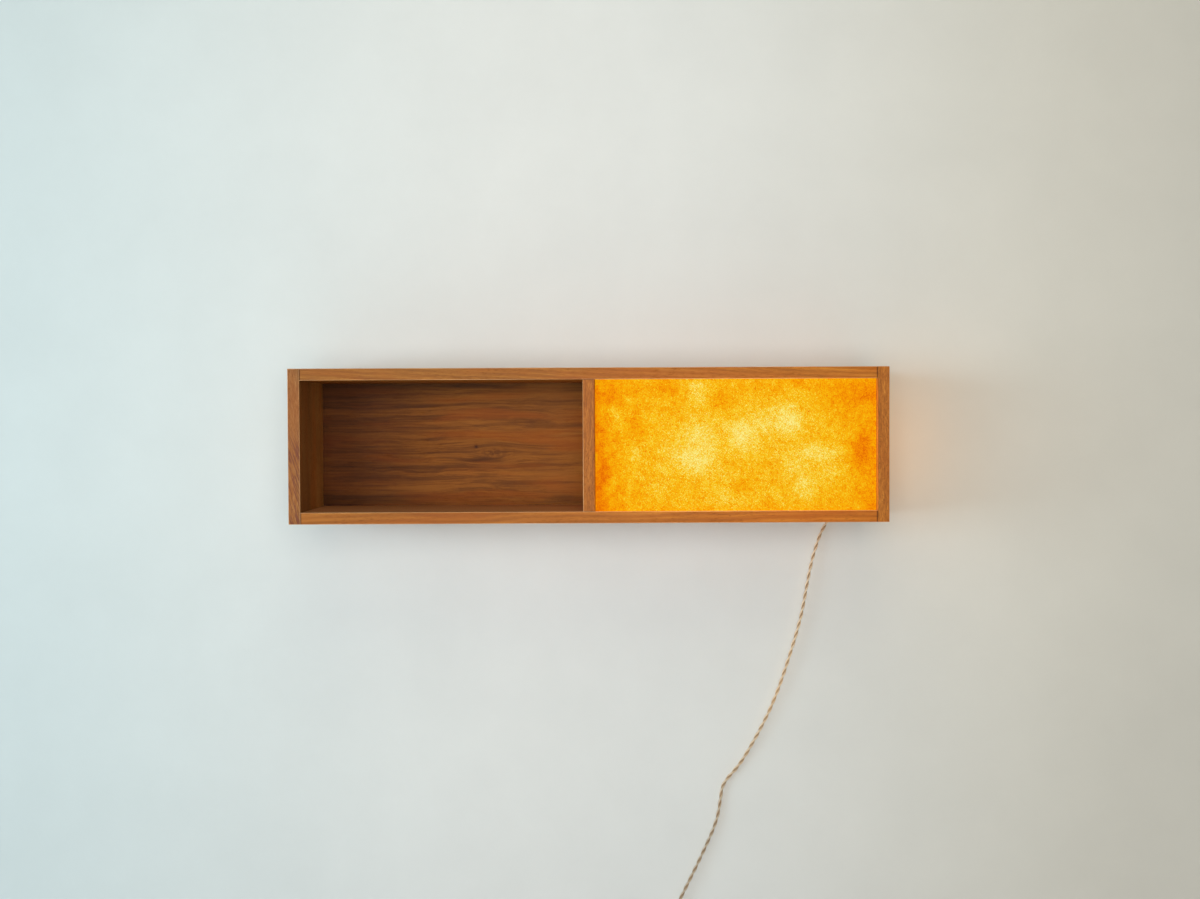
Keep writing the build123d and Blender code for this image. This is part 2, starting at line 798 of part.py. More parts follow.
# Leads: out of the block's top, over to the lamp's axis and in through the nipple
lead_start = block_top - 2 * block_base
leads_end_x = bracket_x - insert_at


def lead(side, route):
    rise, bends, last_x = route
    x = cord_x + side * block_pitch / 2
    z = mid_z - side * lead_gap
    points = [(x, block_bore_y, lead_start), (x, block_bore_y, block_top + rise)]
    points += [(x + dx, lamp_y + dy, block_top + dz) for dx, dy, dz in bends]
    points += [(x + last_x, lamp_y, z), (leads_end_x, lamp_y, z)]
    round_run(points, lead_r)


with BuildPart() as lead_live:
    lead(-1, live_route)
save(lead_live, "lead_live")

with BuildPart() as lead_neutral:
    lead(1, neutral_route)
save(lead_neutral, "lead_neutral")

# The cord inside the box: up behind the panel, through its slot and on to the terminal block
cord_exit = (cord_x, -cord_off_wall, box_low_z)
slot_share = (panel_face + panel_back + 2 * cord_off_wall) / (inner_cord_y + cord_off_wall) / 2
crossing_z = cord_slot_z - slot_share * cord_crossing
with BuildPart() as inner_cord:
    round_run(
        [
            cord_exit,
            (cord_x, -cord_off_wall, crossing_z),
            (cord_x, inner_cord_y, crossing_z + cord_crossing),
            (cord_x, inner_cord_y, block_bottom),
        ],
        cord_r,
    )
save(inner_cord, "inner_cord")

# Cord clamp: a strap bent over the cord, with a screw on each side
with BuildPart() as cord_clamp:
    arch_r = cord_r + cord_hole_gap
    with BuildSketch(Plane(origin=(cord_x, inner_cord_y, clamp_z), x_dir=(1, 0, 0), z_dir=(0, 0, 1))):
        Circle(arch_r + clamp_thick)
        floor = panel_face - inner_cord_y
        with Locations((0, floor / 2)):
            Rectangle(2 * (arch_r + clamp_thick), floor)
        with Locations((0, floor - clamp_thick / 2)):
            Rectangle(clamp_length, clamp_thick)
        Circle(arch_r, mode=Mode.SUBTRACT)
        with Locations((0, floor)):
            Rectangle(2 * arch_r, 2 * floor, mode=Mode.SUBTRACT)
        with Locations((0, 2 * floor)):
            Rectangle(clamp_length, 2 * floor, mode=Mode.SUBTRACT)
    extrude(amount=clamp_height / 2, both=True)
    for x, z in clamp_screws_at:
        seat = (x, panel_face - clamp_thick, z)
        bar(seat, (0, 1, 0), small_screw[0] + fit_gap, clamp_thick, Mode.SUBTRACT)
save(cord_clamp, "cord_clamp")

with BuildPart() as clamp_screws:
    for x, z in clamp_screws_at:
        screw(Plane(origin=(x, panel_face - clamp_thick, z), z_dir=(0, 1, 0)), small_screw)
save(clamp_screws, "clamp_screws")

# The free cord hangs down the wall to the switch: x and z from the exit, y from the wall
drop_steps = [
    (0.0, -5.0, 0.0),
    (0.0, -5.0, -9.0),
    (-7.4, -6.8, -25.3),
    (-19.5, -9.3, -59.3),
    (-30.5, -10.0, -101.5),
    (-37.5, -9.7, -146.5),
    (-56.5, -8.8, -207.5),
    (-76.5, -8.0, -261.5),
    (-100.5, -7.0, -309.0),
    (-124.0, -5.8, -345.5),
    (-142.5, -4.6, -373.0),
    (-146.5, -4.4, -392.5),
    (-157.2, -5.4, -430.5),
    (-179.0, -7.4, -477.5),
    (-202.5, -8.8, -524.5),
    (-214.2, -9.3, -548.0),
    (-219.5, -9.5, -564.5),
    (-219.5, -9.5, -579.5),
]
drop_points = [(cord_exit[0] + dx, y, cord_exit[2] + dz) for dx, y, dz in drop_steps]
switch_x, switch_y, drop_end_z = drop_points[-1]

with BuildPart() as cord_drop:
    drop_length = round_run(drop_points, cord_r)
save(cord_drop, "cord_drop")
print("cord_drop bends, mm:", [round(r, 1) for r in bend_radii(drop_points)])

# In-line switch: both shells share one outline, drawn in the wall's plane
switch_top = drop_end_z + cord_in_switch
switch_z = switch_top - switch_length / 2
pivot_y = switch_y - switch_half + rocker_depth
floor_back = switch_y + switch_half - switch_wall
floor_front = switch_y - switch_half + switch_wall
boss_x = switch_width / 2 - boss_inset[0]
boss_z = switch_body / 2 - boss_inset[1]
boss_places = [(-boss_x, boss_z), (boss_x, -boss_z)]


def switch_plane(y, towards):
    return Plane(origin=(switch_x, y, switch_z), x_dir=(1, 0, 0), z_dir=(0, towards, 0))


def half_shell(shell, towards):
    with BuildSketch(switch_plane(switch_y, towards)) as outline:
        RectangleRounded(switch_width, switch_body, switch_corner_r)
        Rectangle(switch_neck, switch_length)
        inner_corners = outline.vertices().filter_by(
            lambda v: abs(abs(v.X) - switch_neck / 2) < tiny and abs(v.Y) < switch_length / 2 - tiny
        )
        fillet(inner_corners, neck_fillet)
    extrude(outline.sketch, amount=switch_half)
    fillet(shell.faces().sort_by(Axis.Y)[0 if towards < 0 else -1].edges(), shell_round)
    with BuildSketch(switch_plane(switch_y, towards)) as pocket:
        inset = 2 * switch_wall
        RectangleRounded(switch_width - inset, switch_body - inset, switch_corner_r - switch_wall)
    extrude(pocket.sketch, amount=switch_half - switch_wall, mode=Mode.SUBTRACT)
    with BuildSketch(switch_plane(switch_y, towards)) as bosses:
        with Locations([(x, z * -towards) for x, z in boss_places]):
            Circle(boss_r)
    extrude(bosses.sketch, amount=switch_half - switch_wall)
    start = (switch_x, switch_y, switch_z - switch_length / 2)
    bar(start, (0, 0, 1), cord_r + cord_hole_gap, switch_length, Mode.SUBTRACT)


head_room = case_screw[2] + head_sink
with BuildPart() as switch_back_shell:
    half_shell(switch_back_shell, 1)
    for x, z in boss_places:
        at = (switch_x + x, switch_y, switch_z + z)
        bar(at, (0, 1, 0), case_screw[0] + fit_gap, switch_half, Mode.SUBTRACT)
        at = (switch_x + x, switch_y + switch_half - head_room, switch_z + z)
        bar(at, (0, 1, 0), case_screw[1] + head_gap, head_room, Mode.SUBTRACT)
save(switch_back_shell, "switch_back_shell")

# The front shell has the rocker's window, with an ear on each side that holds its pivot
window_half_x = rocker_width / 2 + rocker_gap
window_half_z = rocker_half + rocker_end_gap
with BuildPart() as switch_front_shell:
    half_shell(switch_front_shell, -1)
    with BuildSketch(switch_plane(switch_y, -1)):
        Rectangle(2 * window_half_x, 2 * window_half_z)
    extrude(amount=switch_half, mode=Mode.SUBTRACT)
    for side in (-1, 1):
        ear_x = sorted((side * window_half_x, side * (window_half_x + ear_thick)))
        block(
            (switch_x + ear_x[0], switch_x + ear_x[1]),
            (floor_front, pivot_y + ear_below_pivot),
            (switch_z - ear_height / 2, switch_z + ear_height / 2),
        )
        pivot_seat = (switch_x + side * window_half_x, pivot_y, switch_z)
        bar(pivot_seat, (side, 0, 0), pivot_r + pivot_gap, ear_thick, Mode.SUBTRACT)
    for x, z in boss_places:
        at = (switch_x + x, switch_y, switch_z + z)
        screw_reach = case_screw[3] - (switch_half - head_room) + fit_gap
        bar(at, (0, -1, 0), case_screw[0] + fit_gap, screw_reach, Mode.SUBTRACT)
save(switch_front_shell, "switch_front_shell")

# Rocker at rest in the on position, its lower end pressed in; local x is towards the wall
tilt = math.radians(rocker_tilt)
pivot = (switch_x, pivot_y, switch_z)
rocker_plane = Plane(origin=pivot, x_dir=(0, math.cos(tilt), math.sin(tilt)), z_dir=(1, 0, 0))
with BuildPart() as switch_rocker:
    with BuildSketch(rocker_plane):
        with BuildLine():
            Polyline(
                (-rocker_proud, -rocker_half),
                (-rocker_dip, 0),
                (-rocker_proud, rocker_half),
                (rocker_foot_rise, rocker_foot_half),
                (rocker_foot, 0),
                (rocker_foot_rise, -rocker_foot_half),
                close=True,
            )
        make_face()
    extrude(amount=rocker_width / 2, both=True)
    pivot_start = (switch_x - rocker_width / 2 - pivot_length, pivot_y, switch_z)
    bar(pivot_start, (1, 0, 0), pivot_r, rocker_width + 2 * pivot_length)
save(switch_rocker, "switch_rocker")

with BuildPart() as switch_terminals:
    for end in (-1, 1):
        inner_end = switch_z + end * (switch_length / 2 - cord_in_switch)
        block(
            (switch_x - terminal_size[0] / 2, switch_x + terminal_size[0] / 2),
            (floor_back - terminal_size[1], floor_back),
            sorted((inner_end, inner_end - end * terminal_size[2])),
        )
save(switch_terminals, "switch_terminals")

with BuildPart() as switch_screws:
    for x, z in boss_places:
        seat_y = switch_y + switch_half - head_room
        screw(Plane(origin=(switch_x + x, seat_y, switch_z + z), z_dir=(0, -1, 0)), case_screw)
save(switch_screws, "switch_screws")

# Coil against the wall: flat spirals in and out, layer on layer, as one unbroken tube.
# Every half turn has its radius and its distance from the wall, and two tangent arcs join
# one to the next. A layer is climbed in the half turn where the spiral reverses.
coil_turn_pitch = 2 * cord_r + coil_turn_gap
coil_layer_pitch = 2 * cord_r + coil_layer_gap

radius, depth, inward = coil_start_r, coil_off_wall, -1
coil_stops = [(radius, depth)]
for layer, half_turns in enumerate(coil_layer_turns):
    if layer > 0:
        depth += coil_layer_pitch
        coil_stops.append((radius, depth))
        inward = -inward
    for _ in range(half_turns):
        radius += inward * coil_turn_pitch / 2
        coil_stops.append((radius, depth))

# The link leads from the switch to the first turn, at its right-hand side
link_steps = [(-9.5, 0.0), (-9.5, -12.0), (-coil_off_wall, -25.5), (-coil_off_wall, -37.0)]
link_top_z = switch_z - switch_length / 2 + cord_in_switch
link_points = [(switch_x, y, link_top_z + dz) for y, dz in link_steps]
coil_x = switch_x - coil_start_r
coil_z = link_points[-1][2] - coil_end_straight


def coil_point(stop):
    r, away = coil_stops[stop]
    side = 1 if stop % 2 == 0 else -1
    return Vector(coil_x + side * r, -away, coil_z), Vector(0, 0, -side)


with BuildPart() as cord_link:
    link_length = round_run(link_points, cord_r)
save(cord_link, "cord_link")
print("cord_link bends, mm:", [round(r, 1) for r in bend_radii(link_points)])

with BuildPart() as cord_coil:
    with BuildLine() as turns:
        start, down = coil_point(0)
        Line(start - down * coil_end_straight, start)
        for stop in range(len(coil_stops) - 1):
            a, a_dir = coil_point(stop)
            b, b_dir = coil_point(stop + 1)
            reach = (b - a).length / 2
            a_arm, b_arm = a + a_dir * reach, b - b_dir * reach
            joint = (a_arm + b_arm) / 2
            TangentArc(a, joint, tangent=a_dir)
            TangentArc(joint, b, tangent=b_arm - a_arm)
        end, down = coil_point(len(coil_stops) - 1)
        Line(end, end + down * coil_end_straight)
    with BuildSketch(Plane(origin=turns.line @ 0, z_dir=turns.line % 0)):
        Circle(cord_r)
    sweep(path=turns.line)
save(cord_coil, "cord_coil")


# The least gap between turns: points along the tube that are far apart along it
def least_gap(line, step, radius):
    points = []
    for edge in line.edges():
        count = max(2, round(edge.length / step))
        points += [edge @ (i / count) for i in range(count)]
    skip = round(6 * radius / step) + 1
    gap = math.inf
    for i, p in enumerate(points):
        for q in points[i + skip :]:
            gap = min(gap, (p - q).length)
    return gap - 2 * radius


coil_length = sum(edge.length for edge in turns.line.edges())
print("coil's least gap to itself, mm:", round(least_gap(turns.line, 3.0, cord_r), 2))
volume_share = cord_coil.part.volume / (math.pi * cord_r**2 * coil_length)
print("coil volume over section times length:", round(volume_share, 4))

# Tie: a strap closed by a stud, round the bundle at the coil's left
bundle_out = max(r for r, _ in coil_stops[1::2]) + cord_r
bundle_in = min(r for r, _ in coil_stops[1::2]) - cord_r
sag = bundle_in - math.sqrt(bundle_in**2 - (tie_width / 2) ** 2)
tie_x = (coil_x - bundle_out - tie_gap, coil_x - bundle_in + sag + tie_gap)
tie_y = (-coil_stops[-1][1] - cord_r - tie_gap, -coil_off_wall + cord_r + tie_gap)
with BuildPart() as cord_tie:
    with BuildSketch(Plane.XY.offset(coil_z)):
        with Locations((sum(tie_x) / 2, sum(tie_y) / 2)):
            across, deep = tie_x[1] - tie_x[0], tie_y[1] - tie_y[0]
            RectangleRounded(across + 2 * tie_thick, deep + 2 * tie_thick, tie_thick * 3)
            RectangleRounded(across, deep, tie_thick * 2, mode=Mode.SUBTRACT)
    extrude(amount=tie_width / 2, both=True)
    stud = (sum(tie_x) / 2, tie_y[0] - tie_thick, coil_z)
    bar(stud, (0, -1, 0), tie_stud_r, tie_thick)
    fillet(cord_tie.faces().sort_by(Axis.Y)[0].edges(), tie_thick / 2)
save(cord_tie, "cord_tie")

# Tail, boot and plug hang below the coil's last turn
tail_x, tail_y = coil_x + coil_stops[-1][0], -coil_stops[-1][1]
tail_top = coil_z - coil_end_straight
boot_top = coil_z - boot_below_coil
plug_top = boot_top - boot_length
plug_end = plug_top - plug_length
with BuildPart() as cord_tail:
    bar((tail_x, tail_y, tail_top), (0, 0, -1), cord_r, tail_top - plug_top)
save(cord_tail, "cord_tail")

# The boot tapers up the cord and is cut into ribs so that it bends
boot_bore_r = cord_r + cord_hole_gap
boot_top_r = boot_bore_r + boot_top_wall
boot_low_r = plug_sections[0][1] / 2 - boot_shoulder
with BuildPart() as plug_boot:
    rib_pitch = boot_length / (boot_ribs + 1)
    outline = [(boot_bore_r, plug_top), (boot_low_r, plug_top)]
    for rib in range(1, boot_ribs + 1):
        rib_r = boot_low_r + (boot_top_r - boot_low_r) * rib / (boot_ribs + 1)
        rib_z = plug_top + rib * rib_pitch
        outline += [
            (rib_r, rib_z - boot_rib_gap / 2),
            (rib_r - boot_rib_depth, rib_z - boot_rib_gap / 4),
            (rib_r - boot_rib_depth, rib_z + boot_rib_gap / 4),
            (rib_r, rib_z + boot_rib_gap / 2),
        ]
    outline += [(boot_top_r, boot_top), (boot_bore_r, boot_top)]
    with BuildSketch(Plane(origin=(tail_x, tail_y, 0), x_dir=(1, 0, 0), z_dir=(0, -1, 0))):
        with BuildLine():
            Polyline(*outline, close=True)
        make_face()
    revolve(axis=Axis((tail_x, tail_y, 0), (0, 0, 1)))
save(plug_boot, "plug_boot")

# Plug body: a flat grip that swells from the boot to the pin face
with BuildPart() as plug_body:
    for down, width, thick, corner in plug_sections:
        plane = Plane(origin=(tail_x, tail_y, plug_top - down), z_dir=(0, 0, 1))
        with BuildSketch(plane):
            RectangleRounded(width, thick, corner)
    loft()
    pin_face = plug_body.faces().sort_by(Axis.Z)[0]
    extrude(pin_face, amount=plug_length - plug_sections[-1][0])
    fillet(plug_body.faces().sort_by(Axis.Z)[0].edges(), edge_round)
    for side in (-1, 1):
        start = (tail_x + side * pin_pitch / 2, tail_y, plug_end)
        bar(start, (0, 0, 1), pin_r + fit_gap, pin_hold, Mode.SUBTRACT)
        for groove in range(plug_grooves):
            groove_z = plug_end + plug_groove_start + groove * plug_groove_pitch
            start = (tail_x + side * plug_sections[-1][1] / 2, tail_y - plug_length, groove_z)
            bar(start, (0, 1, 0), plug_groove_r, 2 * plug_length, Mode.SUBTRACT)
save(plug_body, "plug_body")

with BuildPart() as plug_pins:
    for side in (-1, 1):
        start = (tail_x + side * pin_pitch / 2, tail_y, plug_end + pin_hold)
        bar(start, (0, 0, -1), pin_r, pin_hold + pin_length)
    fillet(plug_pins.edges().group_by(Axis.Z)[0], pin_r / 2)
save(plug_pins, "plug_pins")

turns_of_coil = sum(coil_layer_turns) + len(coil_layer_turns) - 1
tail_length = tail_top - plug_top
total = drop_length + switch_length - 2 * cord_in_switch + link_length + coil_length + tail_length
print("cord from the box to the plug, mm:", round(total), "in", turns_of_coil / 2, "turns")
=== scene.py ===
import math

import bmesh
import bpy
import numpy as np
from mathutils import Euler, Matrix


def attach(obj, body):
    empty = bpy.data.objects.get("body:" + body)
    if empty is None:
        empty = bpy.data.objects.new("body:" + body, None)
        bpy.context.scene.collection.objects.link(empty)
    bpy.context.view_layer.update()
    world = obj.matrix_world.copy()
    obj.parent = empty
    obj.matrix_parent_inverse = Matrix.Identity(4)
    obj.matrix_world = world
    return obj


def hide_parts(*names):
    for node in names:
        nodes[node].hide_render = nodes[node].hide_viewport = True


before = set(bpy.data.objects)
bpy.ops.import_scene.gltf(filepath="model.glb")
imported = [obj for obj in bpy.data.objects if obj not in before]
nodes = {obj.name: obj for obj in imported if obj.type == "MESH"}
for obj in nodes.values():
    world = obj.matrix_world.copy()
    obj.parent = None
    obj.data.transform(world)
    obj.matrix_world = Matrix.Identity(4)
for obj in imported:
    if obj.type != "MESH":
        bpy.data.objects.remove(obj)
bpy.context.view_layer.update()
scene = bpy.context.scene
print("frame loaded:", len(nodes), "nodes")

# The lamp hangs on the wall y = 0, the room is towards -Y, and +Z is up. Everything is in metres.

# Camera: a standing view, level with the box's upper half
viewpoint = {
    "place": (0.0131, -1.8110, -0.0035),
    "pitchDown": 1.169,     # degrees, as are the next two
    "roll": 0.253,
    "turn": -0.042,
    "focalPixels": 1308.0,  # for an image 1200 pixels wide
    "imageWidth": 1200.0,
    "sensor": 36.0,         # millimetres
    "nearest": 0.05,
    "farthest": 50.0,
}


def addCamera():
    data = bpy.data.cameras.new("camera")
    data.sensor_width = viewpoint["sensor"]
    data.lens = viewpoint["focalPixels"] / viewpoint["imageWidth"] * viewpoint["sensor"]
    data.clip_start, data.clip_end = viewpoint["nearest"], viewpoint["farthest"]
    camera = bpy.data.objects.new("camera", data)
    camera.location = viewpoint["place"]
    tilt = math.radians(90.0 - viewpoint["pitchDown"])
    camera.rotation_euler = Euler((tilt, math.radians(viewpoint["roll"]), math.radians(viewpoint["turn"])))
    scene.collection.objects.link(camera)
    scene.camera = camera


addCamera()
scene.view_settings.view_transform = "Standard"
print("camera placed")


# Meshes from grids

# A grid of points, rows by columns, made into quads. The columns close into a ring, and each end
# row is shut by a fan to its middle. uv is (along, c / columns), along being one per row.
def ringMesh(name, grid, along):
    rows, columns = grid.shape[:2]
    points = np.vstack([grid.reshape(-1, 3), grid[0].mean(0), grid[-1].mean(0)])
    r = np.arange(rows - 1)[:, None]
    c = np.arange(columns)[None, :]
    nextC = (c + 1) % columns
    quads = np.stack([r * columns + c, r * columns + nextC,
                      (r + 1) * columns + nextC, (r + 1) * columns + c], axis=-1).reshape(-1, 4)
    first, last = rows * columns, rows * columns + 1
    k, nextK = c.ravel(), nextC.ravel()
    low = np.stack([np.full(columns, first), nextK, k], axis=-1)
    top = (rows - 1) * columns
    high = np.stack([np.full(columns, last), top + k, top + nextK], axis=-1)
    mesh = bpy.data.meshes.new(name)
    mesh.from_pydata(points.tolist(), [], quads.tolist() + low.tolist() + high.tolist())
    r, c = np.broadcast_arrays(r, c)
    u = np.stack([along[r], along[r], along[r + 1], along[r + 1]], axis=-1).ravel()
    v = np.stack([c, c + 1, c + 1, c], axis=-1).ravel() / columns
    fanUv = np.zeros(len(mesh.loops) - len(u))
    uv = np.stack([np.append(u, fanUv), np.append(v, fanUv)], axis=-1)
    mesh.uv_layers.new(name="UVMap").uv.foreach_set("vector", uv.astype(np.float32).ravel())
    mesh.polygons.foreach_set("use_smooth", np.ones(len(mesh.polygons), dtype=bool))
    mesh.update()
    return mesh


def unit(vectors):
    return vectors / np.linalg.norm(vectors, axis=-1, keepdims=True)


# Two directions square to a path: one as near as can be to the wall's normal, one across it
def pathFrame(path):
    along = unit(np.gradient(path, axis=0))
    out = np.array([0.0, -1.0, 0.0])
    first = unit(out - (along @ out)[:, None] * along)
    return first, np.cross(along, first)


# A round tube: path(s) + radius * (cos a * first + sin a * second), a starting at start(s)
def tube(path, radius, sides, start):
    first, second = pathFrame(path)
    angle = start[:, None] + np.linspace(0.0, 2.0 * math.pi, sides, endpoint=False)[None, :]
    ring = np.cos(angle)[..., None] * first[:, None, :] + np.sin(angle)[..., None] * second[:, None, :]
    return path[:, None, :] + radius * ring


# Points at even steps along a polyline, and how far along each one is
def evenly(path, step):
    lengths = np.linalg.norm(np.diff(path, axis=0), axis=1)
    travelled = np.concatenate([[0.0], np.cumsum(lengths)])
    wanted = np.linspace(0.0, travelled[-1], int(round(travelled[-1] / step)) + 1)
    return np.stack([np.interp(wanted, travelled, path[:, i]) for i in range(3)], axis=-1), wanted


# Adds a piece that rides on the box
def addPiece(name, mesh):
    piece = bpy.data.objects.new(name, mesh)
    scene.collection.objects.link(piece)
    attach(piece, "cabinet")
    return piece


# Gives a CAD node its material
def dress(node, material):
    mesh = nodes[node].data
    mesh.materials.clear()
    mesh.materials.append(material)


# Materials: small helpers for node trees
white = (1.0, 1.0, 1.0)


# Adds a node; each input takes a value or another node's output
def put(tree, kind, inputs=(), **settings):
    node = tree.nodes.new(kind)
    for key, value in settings.items():
        setattr(node, key, value)
    for key, value in dict(inputs).items():
        if isinstance(value, bpy.types.NodeSocket):
            tree.links.new(value, node.inputs[key])
        else:
            node.inputs[key].default_value = value
    return node


def calc(tree, operation, a, b=0.0, c=0.0):
    return put(tree, "ShaderNodeMath", {0: a, 1: b, 2: c}, operation=operation).outputs[0]


def times(tree, first, *others):
    for other in others:
        first = calc(tree, "MULTIPLY", first, other)
    return first


# base + value * share
def addShare(tree, base, value, share):
    return calc(tree, "MULTIPLY_ADD", value, share, base)


# low where the value is 0, high where it is 1
def spread(tree, value, low, high):
    return addShare(tree, low, value, high - low)


# 0 where the factor is low, 1 where it is high, and a soft rise between
def between(tree, factor, low, high):
    return put(tree, "ShaderNodeMapRange", {0: factor, 1: low, 2: high},
               interpolation_type="SMOOTHSTEP").outputs[0]


# A noise's value, moved to lie round 0
def centred(tree, value):
    return calc(tree, "SUBTRACT", value, 0.5)


def objectPoint(tree):
    return put(tree, "ShaderNodeTexCoord").outputs["Object"]


# One coordinate of a vector; the axis is "X", "Y" or "Z"
def coordinate(tree, vector, axis):
    return put(tree, "ShaderNodeSeparateXYZ", {0: vector}).outputs[axis]


def vectorCalc(tree, operation, inputs):
    return put(tree, "ShaderNodeVectorMath", inputs, operation=operation).outputs[0]


def mapped(tree, vector, scale=(1, 1, 1), turn=(0, 0, 0), shift=(0, 0, 0)):
    return put(tree, "ShaderNodeMapping", {"Vector": vector, "Location": shift,
                                           "Rotation": [math.radians(t) for t in turn],
                                           "Scale": scale}).outputs[0]


def noise(tree, vector, scale, detail, rough=0.5, distortion=0.0):
    return put(tree, "ShaderNodeTexNoise", {"Vector": vector, "Scale": scale, "Detail": detail,
                                            "Roughness": rough, "Distortion": distortion}).outputs["Fac"]


# Noise with a scale of its own along each axis
def drawnNoise(tree, vector, scale, detail, rough=0.5, shift=(0, 0, 0)):
    return noise(tree, mapped(tree, vector, scale, shift=shift), 1.0, detail, rough)


# A soft spot in the x-z plane: exp(-(dx/halfX)^2 - (dz/halfZ)^2)
def softSpot(tree, vector, x, z, halfX, halfZ):
    u = calc(tree, "DIVIDE", calc(tree, "SUBTRACT", coordinate(tree, vector, "X"), x), halfX)
    v = calc(tree, "DIVIDE", calc(tree, "SUBTRACT", coordinate(tree, vector, "Z"), z), halfZ)
    away = calc(tree, "ADD", times(tree, u, u), times(tree, v, v))
    return calc(tree, "EXPONENT", times(tree, away, -1.0))


def ramp(tree, factor, stops):
    node = put(tree, "ShaderNodeValToRGB", {0: factor})
    elements = node.color_ramp.elements
    while len(elements) < len(stops):
        elements.new(0.5)
    for element, (position, colour) in zip(elements, stops):
        element.position = position
        element.color = (*colour, 1.0)
    return node.outputs[0]


def mixColour(tree, factor, a, b, blend="MIX"):
    node = put(tree, "ShaderNodeMix", {0: factor}, data_type="RGBA", blend_type=blend)
    for index, value in ((6, a), (7, b)):
        if isinstance(value, bpy.types.NodeSocket):
            tree.links.new(value, node.inputs[index])
        else:
            node.inputs[index].default_value = (*value, 1.0)
    return node.outputs[2]


def multiplied(tree, colour, share):
    return mixColour(tree, 1.0, colour, share, "MULTIPLY")


# The colour times a share at one place on an axis, and all of it at the other
def shaded(tree, colour, point, axis, shareAt, fullAt, share):
    rise = between(tree, coordinate(tree, point, axis), shareAt, fullAt)
    return multiplied(tree, colour, mixColour(tree, rise, share, white))


def newMaterial(name):
    material = bpy.data.materials.new(name)
    material.use_nodes = True
    tree = material.node_tree
    return material, tree, tree.nodes["Principled BSDF"]


def bump(tree, shader, height, strength, distance):
    node = put(tree, "ShaderNodeBump", {"Height": height, "Strength": strength, "Distance": distance})
    tree.links.new(node.outputs[0], shader.inputs["Normal"])


# An sRGB colour from 0 to 255 as linear light
def hue(red, green, blue):
    srgb = np.array([red, green, blue]) / 255.0
    return tuple(np.where(srgb <= 0.04045, srgb / 12.92, ((srgb + 0.055) / 1.055) ** 2.4).tolist())


# A ramp's colours, each channel times a share
def tinted(stops, red, green, blue):
    return tuple((at, (r * red, g * green, b * blue)) for at, (r, g, b) in stops)


# The cord: two cloth-covered strands twisted together. It leaves the box behind the bottom board,
# hangs down the wall to the switch, and its spare length is coiled below it.
cordLook = {
    "diameter": 0.0048,
    "lay": 0.0276,        # length of one full twist
    "step": 0.0012,       # between rings of a strand
    "sides": 12,
    "exit": (0.330, -0.005, -0.130576),
    "length": 2.07,
    "linkTop": -0.746076,
    "coilHalfTurns": (3, 3, 3, 4),  # in each layer
    "turnPitch": 0.0063,
    "layerPitch": 0.0054,
    "coilStart": 0.0312,
    "coilOffWall": 0.004,
    "pointsPerHalfTurn": 8,
    "swell": 1.01,        # the spline runs a little inside its points
    "tailStart": 3.0,     # cord diameters below the coil's end
    "plugTop": -0.816876,
    # behind the box and in the lamp bay
    "insideRun": 0.02,       # straight up from the exit
    "slotMiddle": -0.083076,
    "crossingDrop": 0.0093,  # how far below the slot's middle it turns into the slot
    "crossingRise": 0.017,   # on its way through the slot
    "insideY": -0.0217,      # along the back panel
    "blockZ": -0.034076,     # at the terminal block
}

# x and z from the exit, y from the wall
dropSteps = np.array([
    (0.0, -0.005, 0.0),
    (0.0, -0.005, -0.008),
    (-0.0120, -0.0064, -0.0260),
    (-0.0248, -0.0093, -0.0650),
    (-0.0325, -0.0100, -0.1060),
    (-0.0400, -0.0098, -0.1465),
    (-0.0585, -0.0088, -0.2075),
    (-0.0773, -0.0080, -0.2615),
    (-0.1010, -0.0070, -0.3090),
    (-0.1245, -0.0058, -0.3490),
    (-0.1480, -0.0046, -0.3745),
    (-0.1505, -0.0044, -0.3960),
    (-0.1560, -0.0054, -0.4280),
    (-0.1790, -0.0074, -0.4775),
    (-0.2025, -0.0088, -0.5245),
    (-0.2142, -0.0093, -0.5480),
    (-0.2195, -0.0095, -0.5645),
    (-0.2195, -0.0095, -0.5795),
    (-0.2195, -0.0062, -0.5975),    # behind the rocker, inside the switch
])
# the link from the switch to the coil: y, and z from its top
linkSteps = np.array([(-0.0095, 0.0), (-0.0095, -0.012), (-0.004, -0.0255), (-0.004, -0.037)])


# Radius and depth at every half turn: in and out again, a layer climbed where the spiral turns back
def coilStops(look):
    radius, depth, inward = look["coilStart"], look["coilOffWall"], -1
    stops = [(radius, depth)]
    for layer, halfTurns in enumerate(look["coilHalfTurns"]):
        if layer > 0:
            depth += look["layerPitch"]
            stops.append((radius, depth))
            inward = -inward
        for _ in range(halfTurns):
            radius += inward * look["turnPitch"] / 2
            stops.append((radius, depth))
    return np.array(stops)


# The coil: centre + r * (cos a, -sin a), with r and depth running evenly between half turns
def coilPoints(look, centreX, centreZ):
    stops = coilStops(look)
    count = (len(stops) - 1) * look["pointsPerHalfTurn"] + 1
    at = np.linspace(0.0, len(stops) - 1, count)
    radius = np.interp(at, np.arange(len(stops)), stops[:, 0])
    depth = np.interp(at, np.arange(len(stops)), stops[:, 1])
    swell = np.where((at > 0) & (at < at[-1]), look["swell"], 1.0)
    angle = math.pi * at
    return np.stack([centreX + swell * radius * np.cos(angle), -depth,
                     centreZ - swell * radius * np.sin(angle)], axis=-1)


